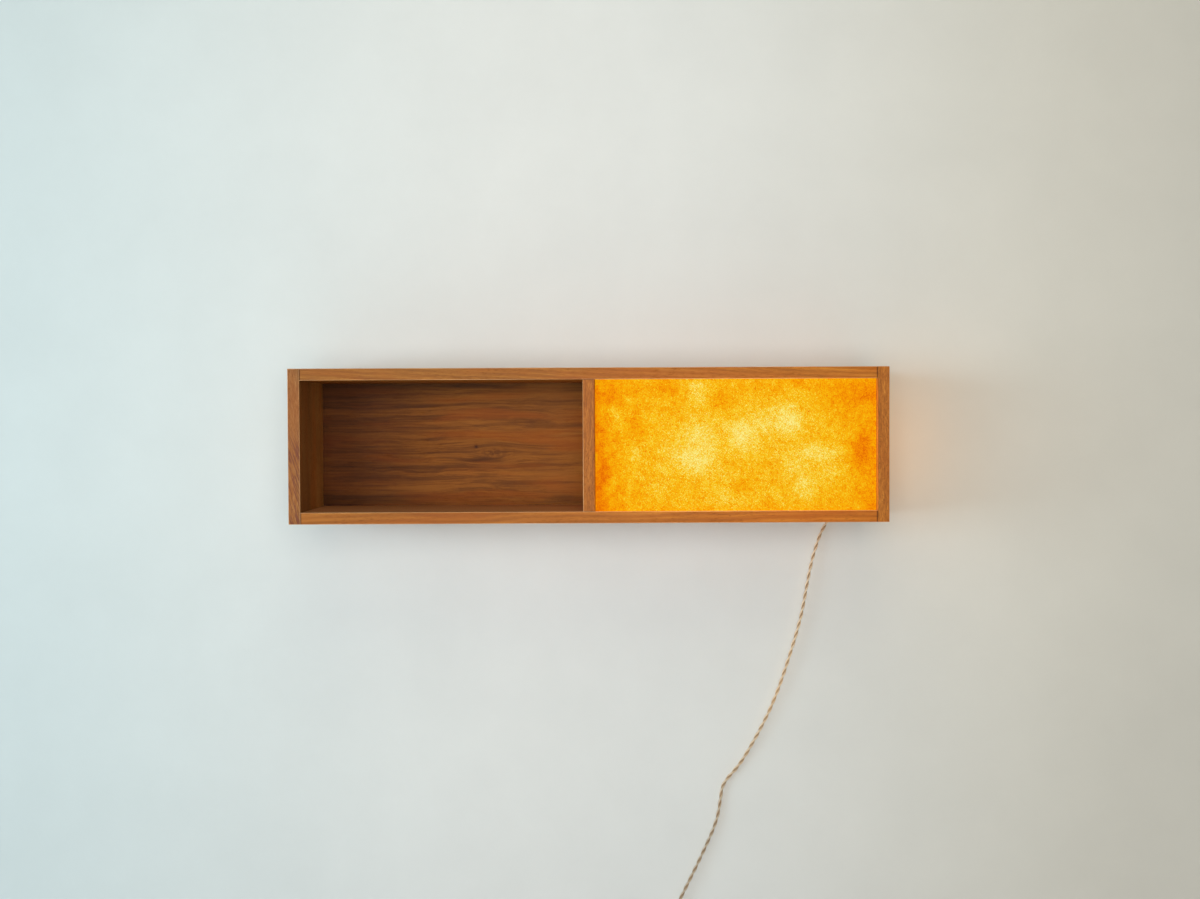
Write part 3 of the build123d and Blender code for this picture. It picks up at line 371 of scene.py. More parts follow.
# The route in the open: the given drop, the link, the coil, and a straight tail to the plug
def freeRoute(look):
    exitX, _, exitZ = look["exit"]
    drop = dropSteps + np.array([exitX, 0.0, exitZ])
    linkX = drop[-1, 0]
    linkY, linkZ = linkSteps.T
    link = np.stack([np.full(len(linkSteps), linkX), linkY, look["linkTop"] + linkZ], axis=-1)
    coil = coilPoints(look, linkX - look["coilStart"], link[-1, 2] - look["diameter"])
    endX, endY, endZ = coil[-1]
    tail = [(endX, endY, endZ - look["tailStart"] * look["diameter"]), (endX, endY, look["plugTop"])]
    return np.vstack([drop, link, coil, tail])


# The route inside: up behind the box, through the slot in the back panel, up to the terminal block
def insideRoute(look):
    exitX, exitY, exitZ = look["exit"]
    insideY, rise = look["insideY"], look["crossingRise"]
    crossing = look["slotMiddle"] - look["crossingDrop"]
    return np.array([
        (exitX, exitY, exitZ),
        (exitX, exitY, exitZ + look["insideRun"]),
        (exitX, exitY, crossing),
        (exitX, insideY, crossing + rise),
        (exitX, insideY, crossing + 2 * rise),
        (exitX, insideY, look["blockZ"]),
    ])


# The smooth line of a route: a quadratic NURBS with the route's points as its control points
def smoothLine(points, name):
    curve = bpy.data.curves.new(name, "CURVE")
    curve.dimensions = "3D"
    curve.resolution_u = 32
    spline = curve.splines.new("NURBS")
    spline.points.add(len(points) - 1)
    spline.points.foreach_set("co", np.hstack([points, np.ones((len(points), 1))]).ravel())
    spline.order_u = 3
    spline.use_endpoint_u = True
    holder = bpy.data.objects.new(name, curve)
    scene.collection.objects.link(holder)
    bpy.context.view_layer.update()
    mesh = bpy.data.meshes.new_from_object(holder)
    line = np.empty(len(mesh.vertices) * 3)
    mesh.vertices.foreach_get("co", line)
    bpy.data.objects.remove(holder)
    bpy.data.curves.remove(curve)
    bpy.data.meshes.remove(mesh)
    return line.reshape(-1, 3)


# Several meshes as one
def joined(name, meshes):
    holders = [bpy.data.objects.new(name + str(i), m) for i, m in enumerate(meshes)]
    for holder in holders:
        scene.collection.objects.link(holder)
    with bpy.context.temp_override(active_object=holders[0], selected_editable_objects=holders):
        bpy.ops.object.join()
    mesh = holders[0].data
    bpy.data.objects.remove(holders[0])
    mesh.name = name
    return mesh


# Two strands: each winds round the line at half the cord's radius, once per lay.
# uv is the distance along in metres, and the share of the way round from the cord's outside.
def twistedPair(line, look, name):
    path, travelled = evenly(line, look["step"])
    first, second = pathFrame(path)
    strandRadius = look["diameter"] / 4
    strands = []
    for begin in (0.0, math.pi):
        angle = 2 * math.pi * travelled / look["lay"] + begin
        centre = path + strandRadius * (np.cos(angle)[:, None] * first + np.sin(angle)[:, None] * second)
        strands.append(ringMesh(name, tube(centre, strandRadius, look["sides"], angle), travelled))
    return joined(name, strands), path


clothLook = {
    "yarnsPerMetre": 900.0,
    "yarnsAround": 6.0,
    "yarnDepth": 0.35,
    "fuzzScale": 2500.0,
    "fuzzDepth": 0.6,
    "creaseFrom": (0.50, -0.2),     # cosine of the way round, from clear of the crease to inside it
    "creaseShare": 0.36,
    # by the braid's height: dark in the hollows, as painted shade, and pale on the yarn tops, as painted
    # highlight
    "colours": ((0.0, hue(106, 74, 46)), (0.35, hue(246, 212, 168)), (0.75, hue(255, 247, 226))),
    "oldScale": 9.0,
    "oldFrom": (0.35, 0.7),
    "oldShare": 0.5,
    "old": hue(222, 182, 136),
    # painted shade: the cord is darker and greyer towards the bottom
    "lowerShade": ("Z", -0.62, -0.34, (0.62, 0.65, 0.71)),     # greyer towards the switch
    "roughness": 0.85,
    "sheen": 0.25,
    "bump": (0.7, 0.0002),
}


# Cloth braid on the cord's own uv: two sets of yarns crossing round each strand
def braidMaterial(name, look):
    material, tree, shader = newMaterial(name)
    place = objectPoint(tree)
    uv = put(tree, "ShaderNodeUVMap").outputs[0]
    around = coordinate(tree, uv, "Y")
    alongYarns = times(tree, coordinate(tree, uv, "X"), look["yarnsPerMetre"])
    aroundYarns = times(tree, around, look["yarnsAround"])
    turns = (calc(tree, way, alongYarns, aroundYarns) for way in ("ADD", "SUBTRACT"))
    rising, falling = (calc(tree, "SINE", times(tree, turn, 2 * math.pi)) for turn in turns)
    fuzz = times(tree, noise(tree, place, look["fuzzScale"], 3.0), look["fuzzDepth"])
    height = addShare(tree, fuzz, calc(tree, "MAXIMUM", rising, falling), look["yarnDepth"])
    facing = calc(tree, "COSINE", times(tree, around, 2 * math.pi))
    # where the strands meet the height drops, and so the colour darkens as painted shade
    crease = between(tree, facing, *look["creaseFrom"])     # 1 where the strands meet
    height = addShare(tree, height, crease, -look["creaseShare"])
    old = between(tree, noise(tree, place, look["oldScale"], 2.0), *look["oldFrom"])
    # painted shade in the hollows and painted highlight on the tops: the colour follows the braid's height
    colour = ramp(tree, height, look["colours"])
    colour = mixColour(tree, times(tree, old, look["oldShare"]), colour, look["old"])
    # painted shade towards the bottom of the cord
    colour = shaded(tree, colour, place, *look["lowerShade"])
    tree.links.new(colour, shader.inputs["Base Color"])
    shader.inputs["Roughness"].default_value = look["roughness"]
    shader.inputs["Sheen Weight"].default_value = look["sheen"]
    bump(tree, shader, height, *look["bump"])
    return material


def buildCord():
    cloth = braidMaterial("clothBraid", clothLook)
    line = smoothLine(freeRoute(cordLook), "freeLine")
    mesh, path = twistedPair(line, cordLook, "cord")
    mesh.materials.append(cloth)
    cord = addPiece("cord", mesh)
    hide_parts("cord_drop", "cord_link", "cord_coil", "cord_tail")
    insideLine = smoothLine(insideRoute(cordLook), "insideLine")
    insideMesh, _ = twistedPair(insideLine, cordLook, "cordInside")
    insideMesh.materials.append(cloth)
    inside = addPiece("cordInside", insideMesh)
    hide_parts("inner_cord")
    total = np.linalg.norm(np.diff(path, axis=0), axis=1).sum()
    print("cord made, metres:", round(float(total), 3))


buildCord()


# Wood. The grain is the pattern's own x, so each board's point is turned by grainTurn first. A pair
# of numbers whose name ends in From is where a soft step starts and ends.
boxWood = {
    "grainTurn": (0, 0, 0), "shift": (0, 0, 0),
    "waveLong": 5.0, "waveAcross": 14.0, "waveReach": 0.010,
    "pith": (0.11, -0.24), "ringWidth": 0.0061, "ringShare": 0.16,
    # streaks: cycles per metre along and across the grain, share, roughness
    "streaks": ((5.0, 70.0, 0.42, 0.5), (11.0, 330.0, 0.36, 0.55), (30.0, 1300.0, 0.46, 0.7)),
    "colours": ((0.2, hue(120, 64, 14)), (0.5, hue(160, 92, 26)), (0.8, hue(188, 120, 44))),
    "warmScale": (6, 40, 40), "warmShift": (3.1, 1.7, 0.4), "warmFrom": (0.45, 0.68),
    "warmShare": 0.35, "warmColour": hue(162, 80, 16),
    "poreLong": 150.0, "poreAcross": 1500.0, "poreFrom": 0.58, "poreRise": 0.12, "poreShare": 0.5,
    "poreColour": hue(92, 46, 12),
    "patchScale": (9, 30, 30), "patchFrom": (0.35, 0.65),
    # the share of its pores and of its pale edges, wear and painted highlight, that shows between the
    # patches, and in them
    "patchPores": (0.3, 1.0), "patchWearAndSheen": (0.4, 0.75),
    "wearAndSheenColour": hue(226, 178, 128), "jointColour": hue(58, 28, 10), "jointShare": 0.8,
    "roughness": 0.34, "fibreRoughness": 0.25, "poreRoughness": 0.2, "shine": 0.22,
    "fibreHeight": 0.5, "bump": (0.35, 0.0003),
}
panelWood = {
    **boxWood,
    "waveLong": 8.0, "waveAcross": 22.0, "waveReach": 0.013,
    "pith": (0.35, 0.42), "ringWidth": 0.0210, "ringShare": 0.05,
    "streaks": ((3.5, 60.0, 0.66, 0.5), (6.0, 190.0, 0.58, 0.55), (11.0, 480.0, 0.58, 0.6),
                (40.0, 2000.0, 0.50, 0.7)),
    "colours": ((0.12, hue(63, 31, 8)), (0.40, hue(121, 69, 20)), (0.56, hue(154, 92, 28)),
                (0.9, hue(191, 122, 44))),
    "warmScale": (7, 60, 60), "warmColour": hue(162, 80, 10), "warmShare": 0.5,
    "poreShare": 0.25, "shine": 0.12,
    # the back panel is darker and less blue at the left, and painted shade makes it darker under the top
    # board and towards the bottom; each is an axis, where the colour is a share of its own, where it is all
    # of it, and the share
    "shades": (("X", -0.375, -0.16, (0.37, 0.32, 0.17)), ("Z", 0.056, 0.030, (0.66, 0.74, 0.80)),
               ("Z", 0.048, -0.022, (0.76, 0.75, 0.76)), ("Z", -0.118, -0.078, (0.80, 0.80, 0.80))),
    "calmer": (-0.16, -0.04, 0.32),     # x to x, and how much weaker the figure grows
    # soft spots are x, z, half width, half height
    "knot": {
        "bend": (-0.1337, -0.0442, 0.035, 0.016), "pull": 0.75,
        "eye": (-0.1337, -0.0442, 0.018, 0.0055),
        "mottleScale": (170, 170, 900), "mottleMiddle": 0.54, "mottleShare": 0.9,
        "smear": (-0.147, -0.0538, 0.032, 0.0035), "dot": (-0.1554, -0.0353, 0.0022, 0.0018),
        "markShare": 0.30,
    },
}
railWood = {
    **boxWood,
    "colours": ((0.2, hue(176, 140, 96)), (0.5, hue(204, 170, 124)), (0.8, hue(222, 194, 150))),
    "warmColour": hue(196, 156, 108), "poreColour": hue(150, 112, 70), "roughness": 0.5,
}
# quieter streaks and more fine specks
calmGrain = {
    "streaks": ((5.0, 70.0, 0.24, 0.5), (14.0, 330.0, 0.34, 0.55), (90.0, 760.0, 1.50, 0.8)),
    "ringShare": 0.06, "poreLong": 300.0, "poreAcross": 1100.0, "poreShare": 0.6,
}
leftBoard = {
    "grainTurn": (0, 92, 0), "shift": (0.31, 0.02, 0.5),
    "flecks": {
        "turn": (0, 108, 0), "shift": (0.2, 0.3, 0.4), "long": 34.0, "across": 600.0,
        "fleckFrom": (0.48, 0.58), "frontFrom": (-0.1575, -0.1592),
        "fadingFrom": (-0.040, 0.0), "least": 0.15, "share": 0.85, "colour": hue(112, 58, 40),
    },
    # painted light on its face in the shelf: a little darker at the front, much lighter and less red
    # towards the back
    "inner": {
        "axis": "X", "sideFrom": (-0.372, -0.368), "frontFrom": (-0.1592, -0.1572),
        "deepeningFrom": (-0.13, -0.035), "front": (0.92, 0.96, 0.98), "back": (1.68, 2.0, 2.0),
        "wearAndSheen": 0.0, "wearAndSheenColour": hue(200, 180, 150),
    },
}
# painted sheen on the floor of the shelf: its face in the shelf made a little redder, with a pale share
# over it
floorSheen = {
    "inner": {
        "axis": "Z", "sideFrom": (-0.1220, -0.1180), "frontFrom": (-0.1592, -0.1572),
        "deepeningFrom": (-0.15, -0.02), "front": (1.1, 1.0, 1.0), "back": (1.1, 1.0, 1.0),
        # painted sheen: a pale share over the floor's face in the shelf
        "wearAndSheen": 0.24, "wearAndSheenColour": hue(208, 184, 150),
    },
}
# the dark lines at a board's ends
boardJoints = {"shades": (("X", 0.3650, 0.3628, (0.20, 0.15, 0.12)),
                          ("X", -0.3650, -0.3628, (0.26, 0.21, 0.17)))}
dividerJoints = {"shades": (("Z", 0.0514, 0.0502, (0.55, 0.48, 0.42)),
                            ("Z", -0.1156, -0.1144, (0.55, 0.48, 0.42)))}

wood = boxWood["colours"]
woodLooks = {
    "left_upright": {**boxWood, **calmGrain, **leftBoard, "colours": tinted(wood, 0.83, 1.11, 2.75)},
    "right_upright": {
        **boxWood, **calmGrain, "grainTurn": (0, 91, 0), "shift": (0.77, 0.05, 0.21),
        "colours": tinted(wood, 1.23, 1.26, 1.36),
    },
    "divider": {
        **boxWood, **calmGrain, **dividerJoints, "grainTurn": (0, 89, 0), "shift": (0.14, 0.09, 0.83),
        "colours": tinted(wood, 1.15, 1.14, 1.33),
    },
    "top_board": {
        **boxWood, **boardJoints, "grainTurn": (0, -3, 0), "shift": (0.4, 0.3, 0.12),
        "streaks": (*boxWood["streaks"][:2], (50.0, 1200.0, 0.90, 0.75)),
        # the last entry is painted light: warmer and brighter towards the right, near the lit paper
        "colours": tinted(wood, 0.92, 1.07, 1.40), "warmLightSide": ("X", 0.3, -0.25, (1.42, 1.24, 0.70)),
    },
    "bottom_board": {
        **boxWood, **boardJoints, **floorSheen, "grainTurn": (0, 1, 0), "shift": (0.9, 0.6, 0.4),
        # the last entry is painted light: warmer and brighter towards the right, near the lit paper
        "colours": tinted(wood, 1.02, 1.07, 1.20), "warmLightSide": ("X", 0.3, -0.25, (1.40, 1.22, 0.70)),
    },
    "back_panel": panelWood,
    "hanging_batten": {**railWood, "shift": (0.2, 0.3, 0.7)},
    "wall_cleat": {**railWood, "shift": (0.6, 0.1, 0.2)},
    "corner_dowels": {**railWood, "shift": (0.1, 0.1, 0.1)},
    "divider_dowels": {**railWood, "grainTurn": (0, 90, 0)},
    "batten_dowels": {**railWood, "shift": (0.3, 0.4, 0.2)},
}


# Streaks and fibres drawn out along the grain, soft growth rings, short dark pores, pale edges that are
# wear and painted highlight, and painted light and shade where a look asks for it
def woodMaterial(name, look):
    material, tree, shader = newMaterial(name)
    point = objectPoint(tree)
    drawn = partedGrain(tree, point, look["knot"]) if "knot" in look else point
    still, bent = grainPoint(tree, drawn, look)
    tone, fibre = grainTone(tree, bent, look)
    if "knot" in look:
        tone = knotTone(tree, tone, point, drawn, look["knot"])
    if "calmer" in look:
        start, end, share = look["calmer"]
        kept = spread(tree, between(tree, coordinate(tree, point, "X"), start, end), 1.0, 1.0 - share)
        tone = addShare(tree, 0.5, centred(tree, tone), kept)
    patch = between(tree, drawnNoise(tree, still, look["patchScale"], 2.0), *look["patchFrom"])
    pores = times(tree, poreDepth(tree, bent, look), spread(tree, patch, *look["patchPores"]))
    colour = ramp(tree, tone, look["colours"])
    colour = mixColour(tree, warmShare(tree, bent, look), colour, look["warmColour"])
    colour = mixColour(tree, times(tree, pores, look["poreShare"]), colour, look["poreColour"])
    if "flecks" in look:
        colour = slantedFlecks(tree, colour, point, look["flecks"])
    # painted warm light: the board grows warmer and brighter towards the right, near the lit paper
    if "warmLightSide" in look:
        colour = shaded(tree, colour, point, *look["warmLightSide"])
    # painted light and shade on a board's face in the shelf
    if "inner" in look:
        colour = innerFace(tree, colour, point, look["inner"])
    # painted shade on the back panel, and the dark lines at a board's ends
    for shade in look.get("shades", ()):
        colour = shaded(tree, colour, point, *shade)
    # the attribute is 1 on an edge made pale, as wear and as a painted highlight, and -1 at a dark joint; a
    # mix's share is held from 0 to 1
    wearAndSheen = put(tree, "ShaderNodeAttribute", attribute_name="wearAndSheen").outputs["Fac"]
    wearAndHighlight = times(tree, wearAndSheen, spread(tree, patch, *look["patchWearAndSheen"]))
    # pale edges: wear, and a painted highlight where light catches the eased edge
    colour = mixColour(tree, wearAndHighlight, colour, look["wearAndSheenColour"])
    colour = mixColour(tree, times(tree, wearAndSheen, -look["jointShare"]), colour, look["jointColour"])
    tree.links.new(colour, shader.inputs["Base Color"])
    roughness = addShare(tree, look["roughness"], fibre, look["fibreRoughness"])
    roughness = addShare(tree, roughness, pores, look["poreRoughness"])
    tree.links.new(roughness, shader.inputs["Roughness"])
    shader.inputs["Specular IOR Level"].default_value = look["shine"]
    height = calc(tree, "SUBTRACT", times(tree, fibre, look["fibreHeight"]), pores)
    bump(tree, shader, height, *look["bump"])
    return material


# A point in the board's own grain, straight, and swayed across it by a slow wave
def grainPoint(tree, drawn, look):
    still = mapped(tree, drawn, turn=look["grainTurn"], shift=look["shift"])
    wave = drawnNoise(tree, still, (look["waveLong"], look["waveAcross"], look["waveAcross"]), 2.0)
    sway = times(tree, centred(tree, wave), look["waveReach"])
    offset = put(tree, "ShaderNodeCombineXYZ", {1: sway, 2: sway}).outputs[0]
    return still, vectorCalc(tree, "ADD", {0: still, 1: offset})


# The figure's tone round 0.5: growth rings round a far pith, then streaks from broad to fine.
# The last and finest streak is the fibre.
def grainTone(tree, bent, look):
    pithY, pithZ = look["pith"]
    across = calc(tree, "SUBTRACT", coordinate(tree, bent, "Y"), pithY)
    upward = calc(tree, "SUBTRACT", coordinate(tree, bent, "Z"), pithZ)
    reach = calc(tree, "SQRT", calc(tree, "ADD", times(tree, across, across), times(tree, upward, upward)))
    ring = calc(tree, "SINE", times(tree, reach, 2 * math.pi / look["ringWidth"]))
    tone = addShare(tree, 0.5, ring, look["ringShare"] / 2)
    for long, wide, share, rough in look["streaks"]:
        fibre = drawnNoise(tree, bent, (long, wide, wide), 4.0, rough)
        tone = addShare(tree, tone, centred(tree, fibre), share)
    return tone, fibre


# The grain parts round a knot: z is drawn towards the knot's own height, most in its middle
def partedGrain(tree, point, knot):
    spot = softSpot(tree, point, *knot["bend"])
    fromKnot = calc(tree, "SUBTRACT", coordinate(tree, point, "Z"), knot["bend"][1])
    drawn = times(tree, spot, fromKnot, -knot["pull"])
    offset = put(tree, "ShaderNodeCombineXYZ", {2: drawn}).outputs[0]
    return vectorCalc(tree, "ADD", {0: point, 1: offset})


# The knot's mottled eye, and a dark smear and dot beside it
def knotTone(tree, tone, point, drawn, knot):
    mottle = drawnNoise(tree, drawn, knot["mottleScale"], 4.0, 0.6)
    mottle = calc(tree, "SUBTRACT", mottle, knot["mottleMiddle"])
    eye, smear, dot = (softSpot(tree, point, *knot[part]) for part in ("eye", "smear", "dot"))
    tone = addShare(tree, tone, times(tree, eye, mottle), knot["mottleShare"])
    return addShare(tree, tone, calc(tree, "ADD", smear, dot), -knot["markShare"])


# How much warmer the wood is, in long soft clouds
def warmShare(tree, bent, look):
    warmth = drawnNoise(tree, bent, look["warmScale"], 3.0, shift=look["warmShift"])
    return times(tree, between(tree, warmth, *look["warmFrom"]), look["warmShare"])


# 1 in a pore and 0 between pores, which are short and lie along the grain
def poreDepth(tree, bent, look):
    pore = drawnNoise(tree, bent, (look["poreLong"], look["poreAcross"], look["poreAcross"]), 1.0)
    return between(tree, pore, look["poreFrom"], look["poreFrom"] + look["poreRise"])


# Slanted dark flecks on a board's front edge alone, fewer above a height where they fade out
def slantedFlecks(tree, colour, point, look):
    grain = mapped(tree, point, turn=look["turn"], shift=look["shift"])
    fleck = drawnNoise(tree, grain, (look["long"], look["across"], look["across"]), 2.0)
    fleck = between(tree, fleck, *look["fleckFrom"])
    low = spread(tree, between(tree, coordinate(tree, point, "Z"), *look["fadingFrom"]), 1.0, look["least"])
    front = between(tree, coordinate(tree, point, "Y"), *look["frontFrom"])
    return mixColour(tree, times(tree, fleck, low, front, look["share"]), colour, look["colour"])


# Painted light on a board's face in the shelf: from front to back it blends between two colours that the
# board's own is multiplied by, for the light and shade that fall there, and a pale share of painted sheen
# goes over it
def innerFace(tree, colour, point, look):
    y = coordinate(tree, point, "Y")
    inside = times(tree, between(tree, y, *look["frontFrom"]),
                   between(tree, coordinate(tree, point, look["axis"]), *look["sideFrom"]))
    tint = mixColour(tree, between(tree, y, *look["deepeningFrom"]), look["front"], look["back"])
    litFace = mixColour(tree, look["wearAndSheen"], multiplied(tree, colour, tint), look["wearAndSheenColour"])
    return mixColour(tree, inside, colour, litFace)


boardEdge = {
    "names": {"left_upright": "leftUpright", "right_upright": "rightUpright", "divider": "bayDivider",
              "top_board": "topBoard", "bottom_board": "bottomBoard"},
    "ease": 0.0006, "dividerEase": 0.0011,
    "shortest": 0.012,      # an edge that is eased
    "mergeWithin": 1e-6,
    "flatWithin": 1,        # degrees
    "sharpFrom": 60,        # degrees
    "squareFrom": 0.98,     # a face's normal along an axis
    # the edges in this box of x and z, round the lit paper, get no pale wear and painted highlight
    "noPaleEdges": ((0.0, -0.1170), (0.3668, 0.0528)),
    # a board's ends, past low and high on its axis, are dark joints
    "joints": {"top_board": ("X", -0.3642, 0.3642), "bottom_board": ("X", -0.3642, 0.3642),
               "divider": ("Z", -0.1148, 0.0506)},
}


# A board as the maker leaves it: a copy of the CAD board, its triangles merged, long edges eased
def easedBoard(node, material, look):
    work = bmesh.new()
    work.from_mesh(nodes[node].data)
    bmesh.ops.remove_doubles(work, verts=work.verts, dist=look["mergeWithin"])
    bmesh.ops.dissolve_limit(work, angle_limit=math.radians(look["flatWithin"]),
                             verts=work.verts, edges=work.edges)
    sharpFrom = math.radians(look["sharpFrom"])
    sharp = [e for e in work.edges if e.calc_length() > look["shortest"]
             and e.calc_face_angle(0.0) > sharpFrom and e.is_convex]
    ease = look["dividerEase" if node == "divider" else "ease"]
    bmesh.ops.bevel(work, geom=sharp, offset=ease, offset_type="OFFSET", segments=2,
                    profile=0.5, affect="EDGES", clamp_overlap=False)
    name = look["names"][node]
    mesh = bpy.data.meshes.new(name)
    work.to_mesh(mesh)
    work.free()
    mesh.materials.append(material)
    wearAndSheen = edgeWearAndHighlight(mesh, node, look)
    mesh.attributes.new("wearAndSheen", "FLOAT", "FACE").data.foreach_set("value", wearAndSheen)
    board = addPiece(name, mesh)
    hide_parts(node)


# The eased edges are the faces that look along no axis: 1 where they are made pale, as wear and as a
# painted highlight, -1 at a dark joint
def edgeWearAndHighlight(mesh, node, look):
    normals = np.empty(len(mesh.polygons) * 3, dtype=np.float32)
    centres = np.empty_like(normals)
    mesh.polygons.foreach_get("normal", normals)
    mesh.polygons.foreach_get("center", centres)
    centres = centres.reshape(-1, 3)
    eased = np.abs(normals.reshape(-1, 3)).max(axis=1) < look["squareFrom"]
    low, high = look["noPaleEdges"]
    across = centres[:, (0, 2)]
    roundPaper = ((across > low) & (across < high)).all(axis=1)
    wearAndSheen = np.where(eased & ~roundPaper, 1.0, 0.0)
    if node in look["joints"]:
        axis, low, high = look["joints"][node]
        place = centres[:, "XYZ".index(axis)]
        wearAndSheen[eased & ((place < low) | (place > high))] = -1.0
    return wearAndSheen.astype(np.float32)


for woodNode, woodLook in woodLooks.items():
    woodFinish = woodMaterial("wood_" + woodNode, woodLook)
    if woodNode in boardEdge["names"]:
        easedBoard(woodNode, woodFinish, boardEdge)
    else:
        dress(woodNode, woodFinish)
print("wood finished")


# Amber paper, lit from behind: thin places glow pale, thick ones orange. The sheet is hand made,
# so its places have ragged edges, and fine fibres and flecks break all of it.
paperLook = {
    "centre": (0.18625, -0.032076),     # x and z of the opening's middle
    "half": (0.179, 0.0835),
    "rimShare": (-0.20, -0.05),         # painted falloff of the bulb's light: how much dimmer the glow is at the sides, and at top and bottom
    "rimPower": 4.0,
    # from the opening's middle: x, z, half width, half height, how much thinner the paper is
    "places": (
        (-0.043, 0.010, 0.022, 0.024, 0.26),
        (-0.046, -0.022, 0.018, 0.017, 0.26),
        (-0.068, -0.017, 0.018, 0.014, 0.20),
        (-0.088, 0.002, 0.018, 0.024, 0.10),
        (0.008, 0.007, 0.015, 0.017, 0.34),
        (-0.003, 0.022, 0.014, 0.012, 0.14),
        (0.034, 0.028, 0.026, 0.018, 0.20),
        (0.070, 0.031, 0.020, 0.018, 0.30),
        (0.054, 0.044, 0.018, 0.010, 0.12),
        (0.106, -0.010, 0.028, 0.010, 0.30),
        (0.118, -0.033, 0.018, 0.014, 0.16),
        (0.076, -0.033, 0.016, 0.012, 0.16),
        (0.087, -0.057, 0.014, 0.014, 0.24),
        (-0.049, 0.069, 0.013, 0.015, 0.18),
        (-0.153, 0.042, 0.006, 0.014, 0.20),
        (-0.125, -0.010, 0.008, 0.011, 0.16),
        (-0.103, -0.048, 0.022, 0.012, 0.12),
        (-0.012, -0.070, 0.026, 0.010, 0.14),
        (0.052, -0.010, 0.008, 0.010, 0.14),
        (-0.011, -0.038, 0.020, 0.008, 0.08),
        (-0.018, 0.056, 0.014, 0.012, -0.16),
        (-0.121, 0.020, 0.016, 0.014, -0.16),
        (-0.088, 0.066, 0.016, 0.014, -0.14),
        (0.141, 0.062, 0.030, 0.016, -0.20),
        (0.160, -0.006, 0.014, 0.022, -0.28),
        (-0.172, -0.040, 0.010, 0.060, -0.24),
        (-0.157, 0.064, 0.014, 0.016, -0.14),
        (0.074, 0.079, 0.010, 0.006, -0.14),
        (0.010, -0.050, 0.016, 0.010, -0.08),
        (-0.122, -0.057, 0.012, 0.012, -0.08),
    ),
    "rag": 0.015,                       # how far the places' edges wander
    "ragNoise": {"Scale": 38.0, "Detail": 5.0, "Roughness": 0.65},
    "even": 0.515,                      # the sheet's thinness between the places
    # each noise is its scale, detail, roughness and distortion
    "cloud": (45.0, 3.0, 0.5, 0.6), "cloudShare": 0.42,
    "mottle": (160.0, 3.0, 0.6), "mottleShare": 0.50,
    "fibres": (900.0, 3.0, 0.8, 0.5), "fibreShare": 1.1, "thinFibreShare": 2.6,
    "flecks": (420.0, 2.0, 0.5, 1.5), "fleckFrom": (0.68, 0.78), "fleckShare": -0.22,
    "colours": (
        (0.00, hue(228, 104, 0)), (0.16, hue(245, 134, 0)), (0.32, hue(249, 158, 0)),
        (0.47, hue(250, 181, 2)), (0.60, hue(250, 199, 18)), (0.74, hue(250, 214, 54)),
        (0.88, hue(250, 228, 102)), (1.0, hue(253, 240, 160)),
    ),
    "glow": 0.79,
    "unlit": (0.20, 0.19, 0.07),        # the sheet's own colour as a share of its lit one
    "roughness": 0.9,
    "shine": 0.05,
    "bump": (0.4, 0.0004),
}


# How thin the paper is by its ragged places, and the painted falloff of the bulb's light towards its rim,
# before any fine noise
def paperThinness(tree, point, look):
    drift = put(tree, "ShaderNodeTexNoise", {"Vector": point, **look["ragNoise"]}).outputs["Color"]
    drift = vectorCalc(tree, "SUBTRACT", {0: drift, 1: (0.5, 0.5, 0.5)})
    drift = vectorCalc(tree, "SCALE", {0: drift, "Scale": 2 * look["rag"]})
    ragged = vectorCalc(tree, "ADD", {0: point, 1: drift})
    centreX, centreZ = look["centre"]
    thin = look["even"]
    for x, z, halfX, halfZ, share in look["places"]:
        thin = addShare(tree, thin, softSpot(tree, ragged, centreX + x, centreZ + z, halfX, halfZ), share)
    # painted falloff of the bulb's light towards the rim
    for axis, middle, half, share in zip("XZ", look["centre"], look["half"], look["rimShare"]):
        away = calc(tree, "ABSOLUTE", calc(tree, "SUBTRACT", coordinate(tree, point, axis), middle))
        rim = calc(tree, "POWER", calc(tree, "DIVIDE", away, half), look["rimPower"])
        thin = addShare(tree, thin, rim, share)
    return thin


def paperMaterial(name, look):
    material, tree, shader = newMaterial(name)
    point = objectPoint(tree)
    thin = paperThinness(tree, point, look)
    cloud, mottle, fibres = (centred(tree, noise(tree, point, *look[layer]))
                             for layer in ("cloud", "mottle", "fibres"))
    fibreShare = addShare(tree, look["fibreShare"], thin, look["thinFibreShare"])
    thin = addShare(tree, thin, cloud, look["cloudShare"])
    thin = addShare(tree, thin, mottle, look["mottleShare"])
    thin = addShare(tree, thin, fibres, fibreShare)
    fleck = between(tree, noise(tree, point, *look["flecks"]), *look["fleckFrom"])
    thin = addShare(tree, thin, fleck, look["fleckShare"])
    colour = ramp(tree, thin, look["colours"])
    tree.links.new(colour, shader.inputs["Emission Color"])
    shader.inputs["Emission Strength"].default_value = look["glow"]
    tree.links.new(multiplied(tree, colour, look["unlit"]), shader.inputs["Base Color"])
    shader.inputs["Roughness"].default_value = look["roughness"]
    shader.inputs["Specular IOR Level"].default_value = look["shine"]
    bump(tree, shader, calc(tree, "ADD", fibres, mottle), *look["bump"])
    return material


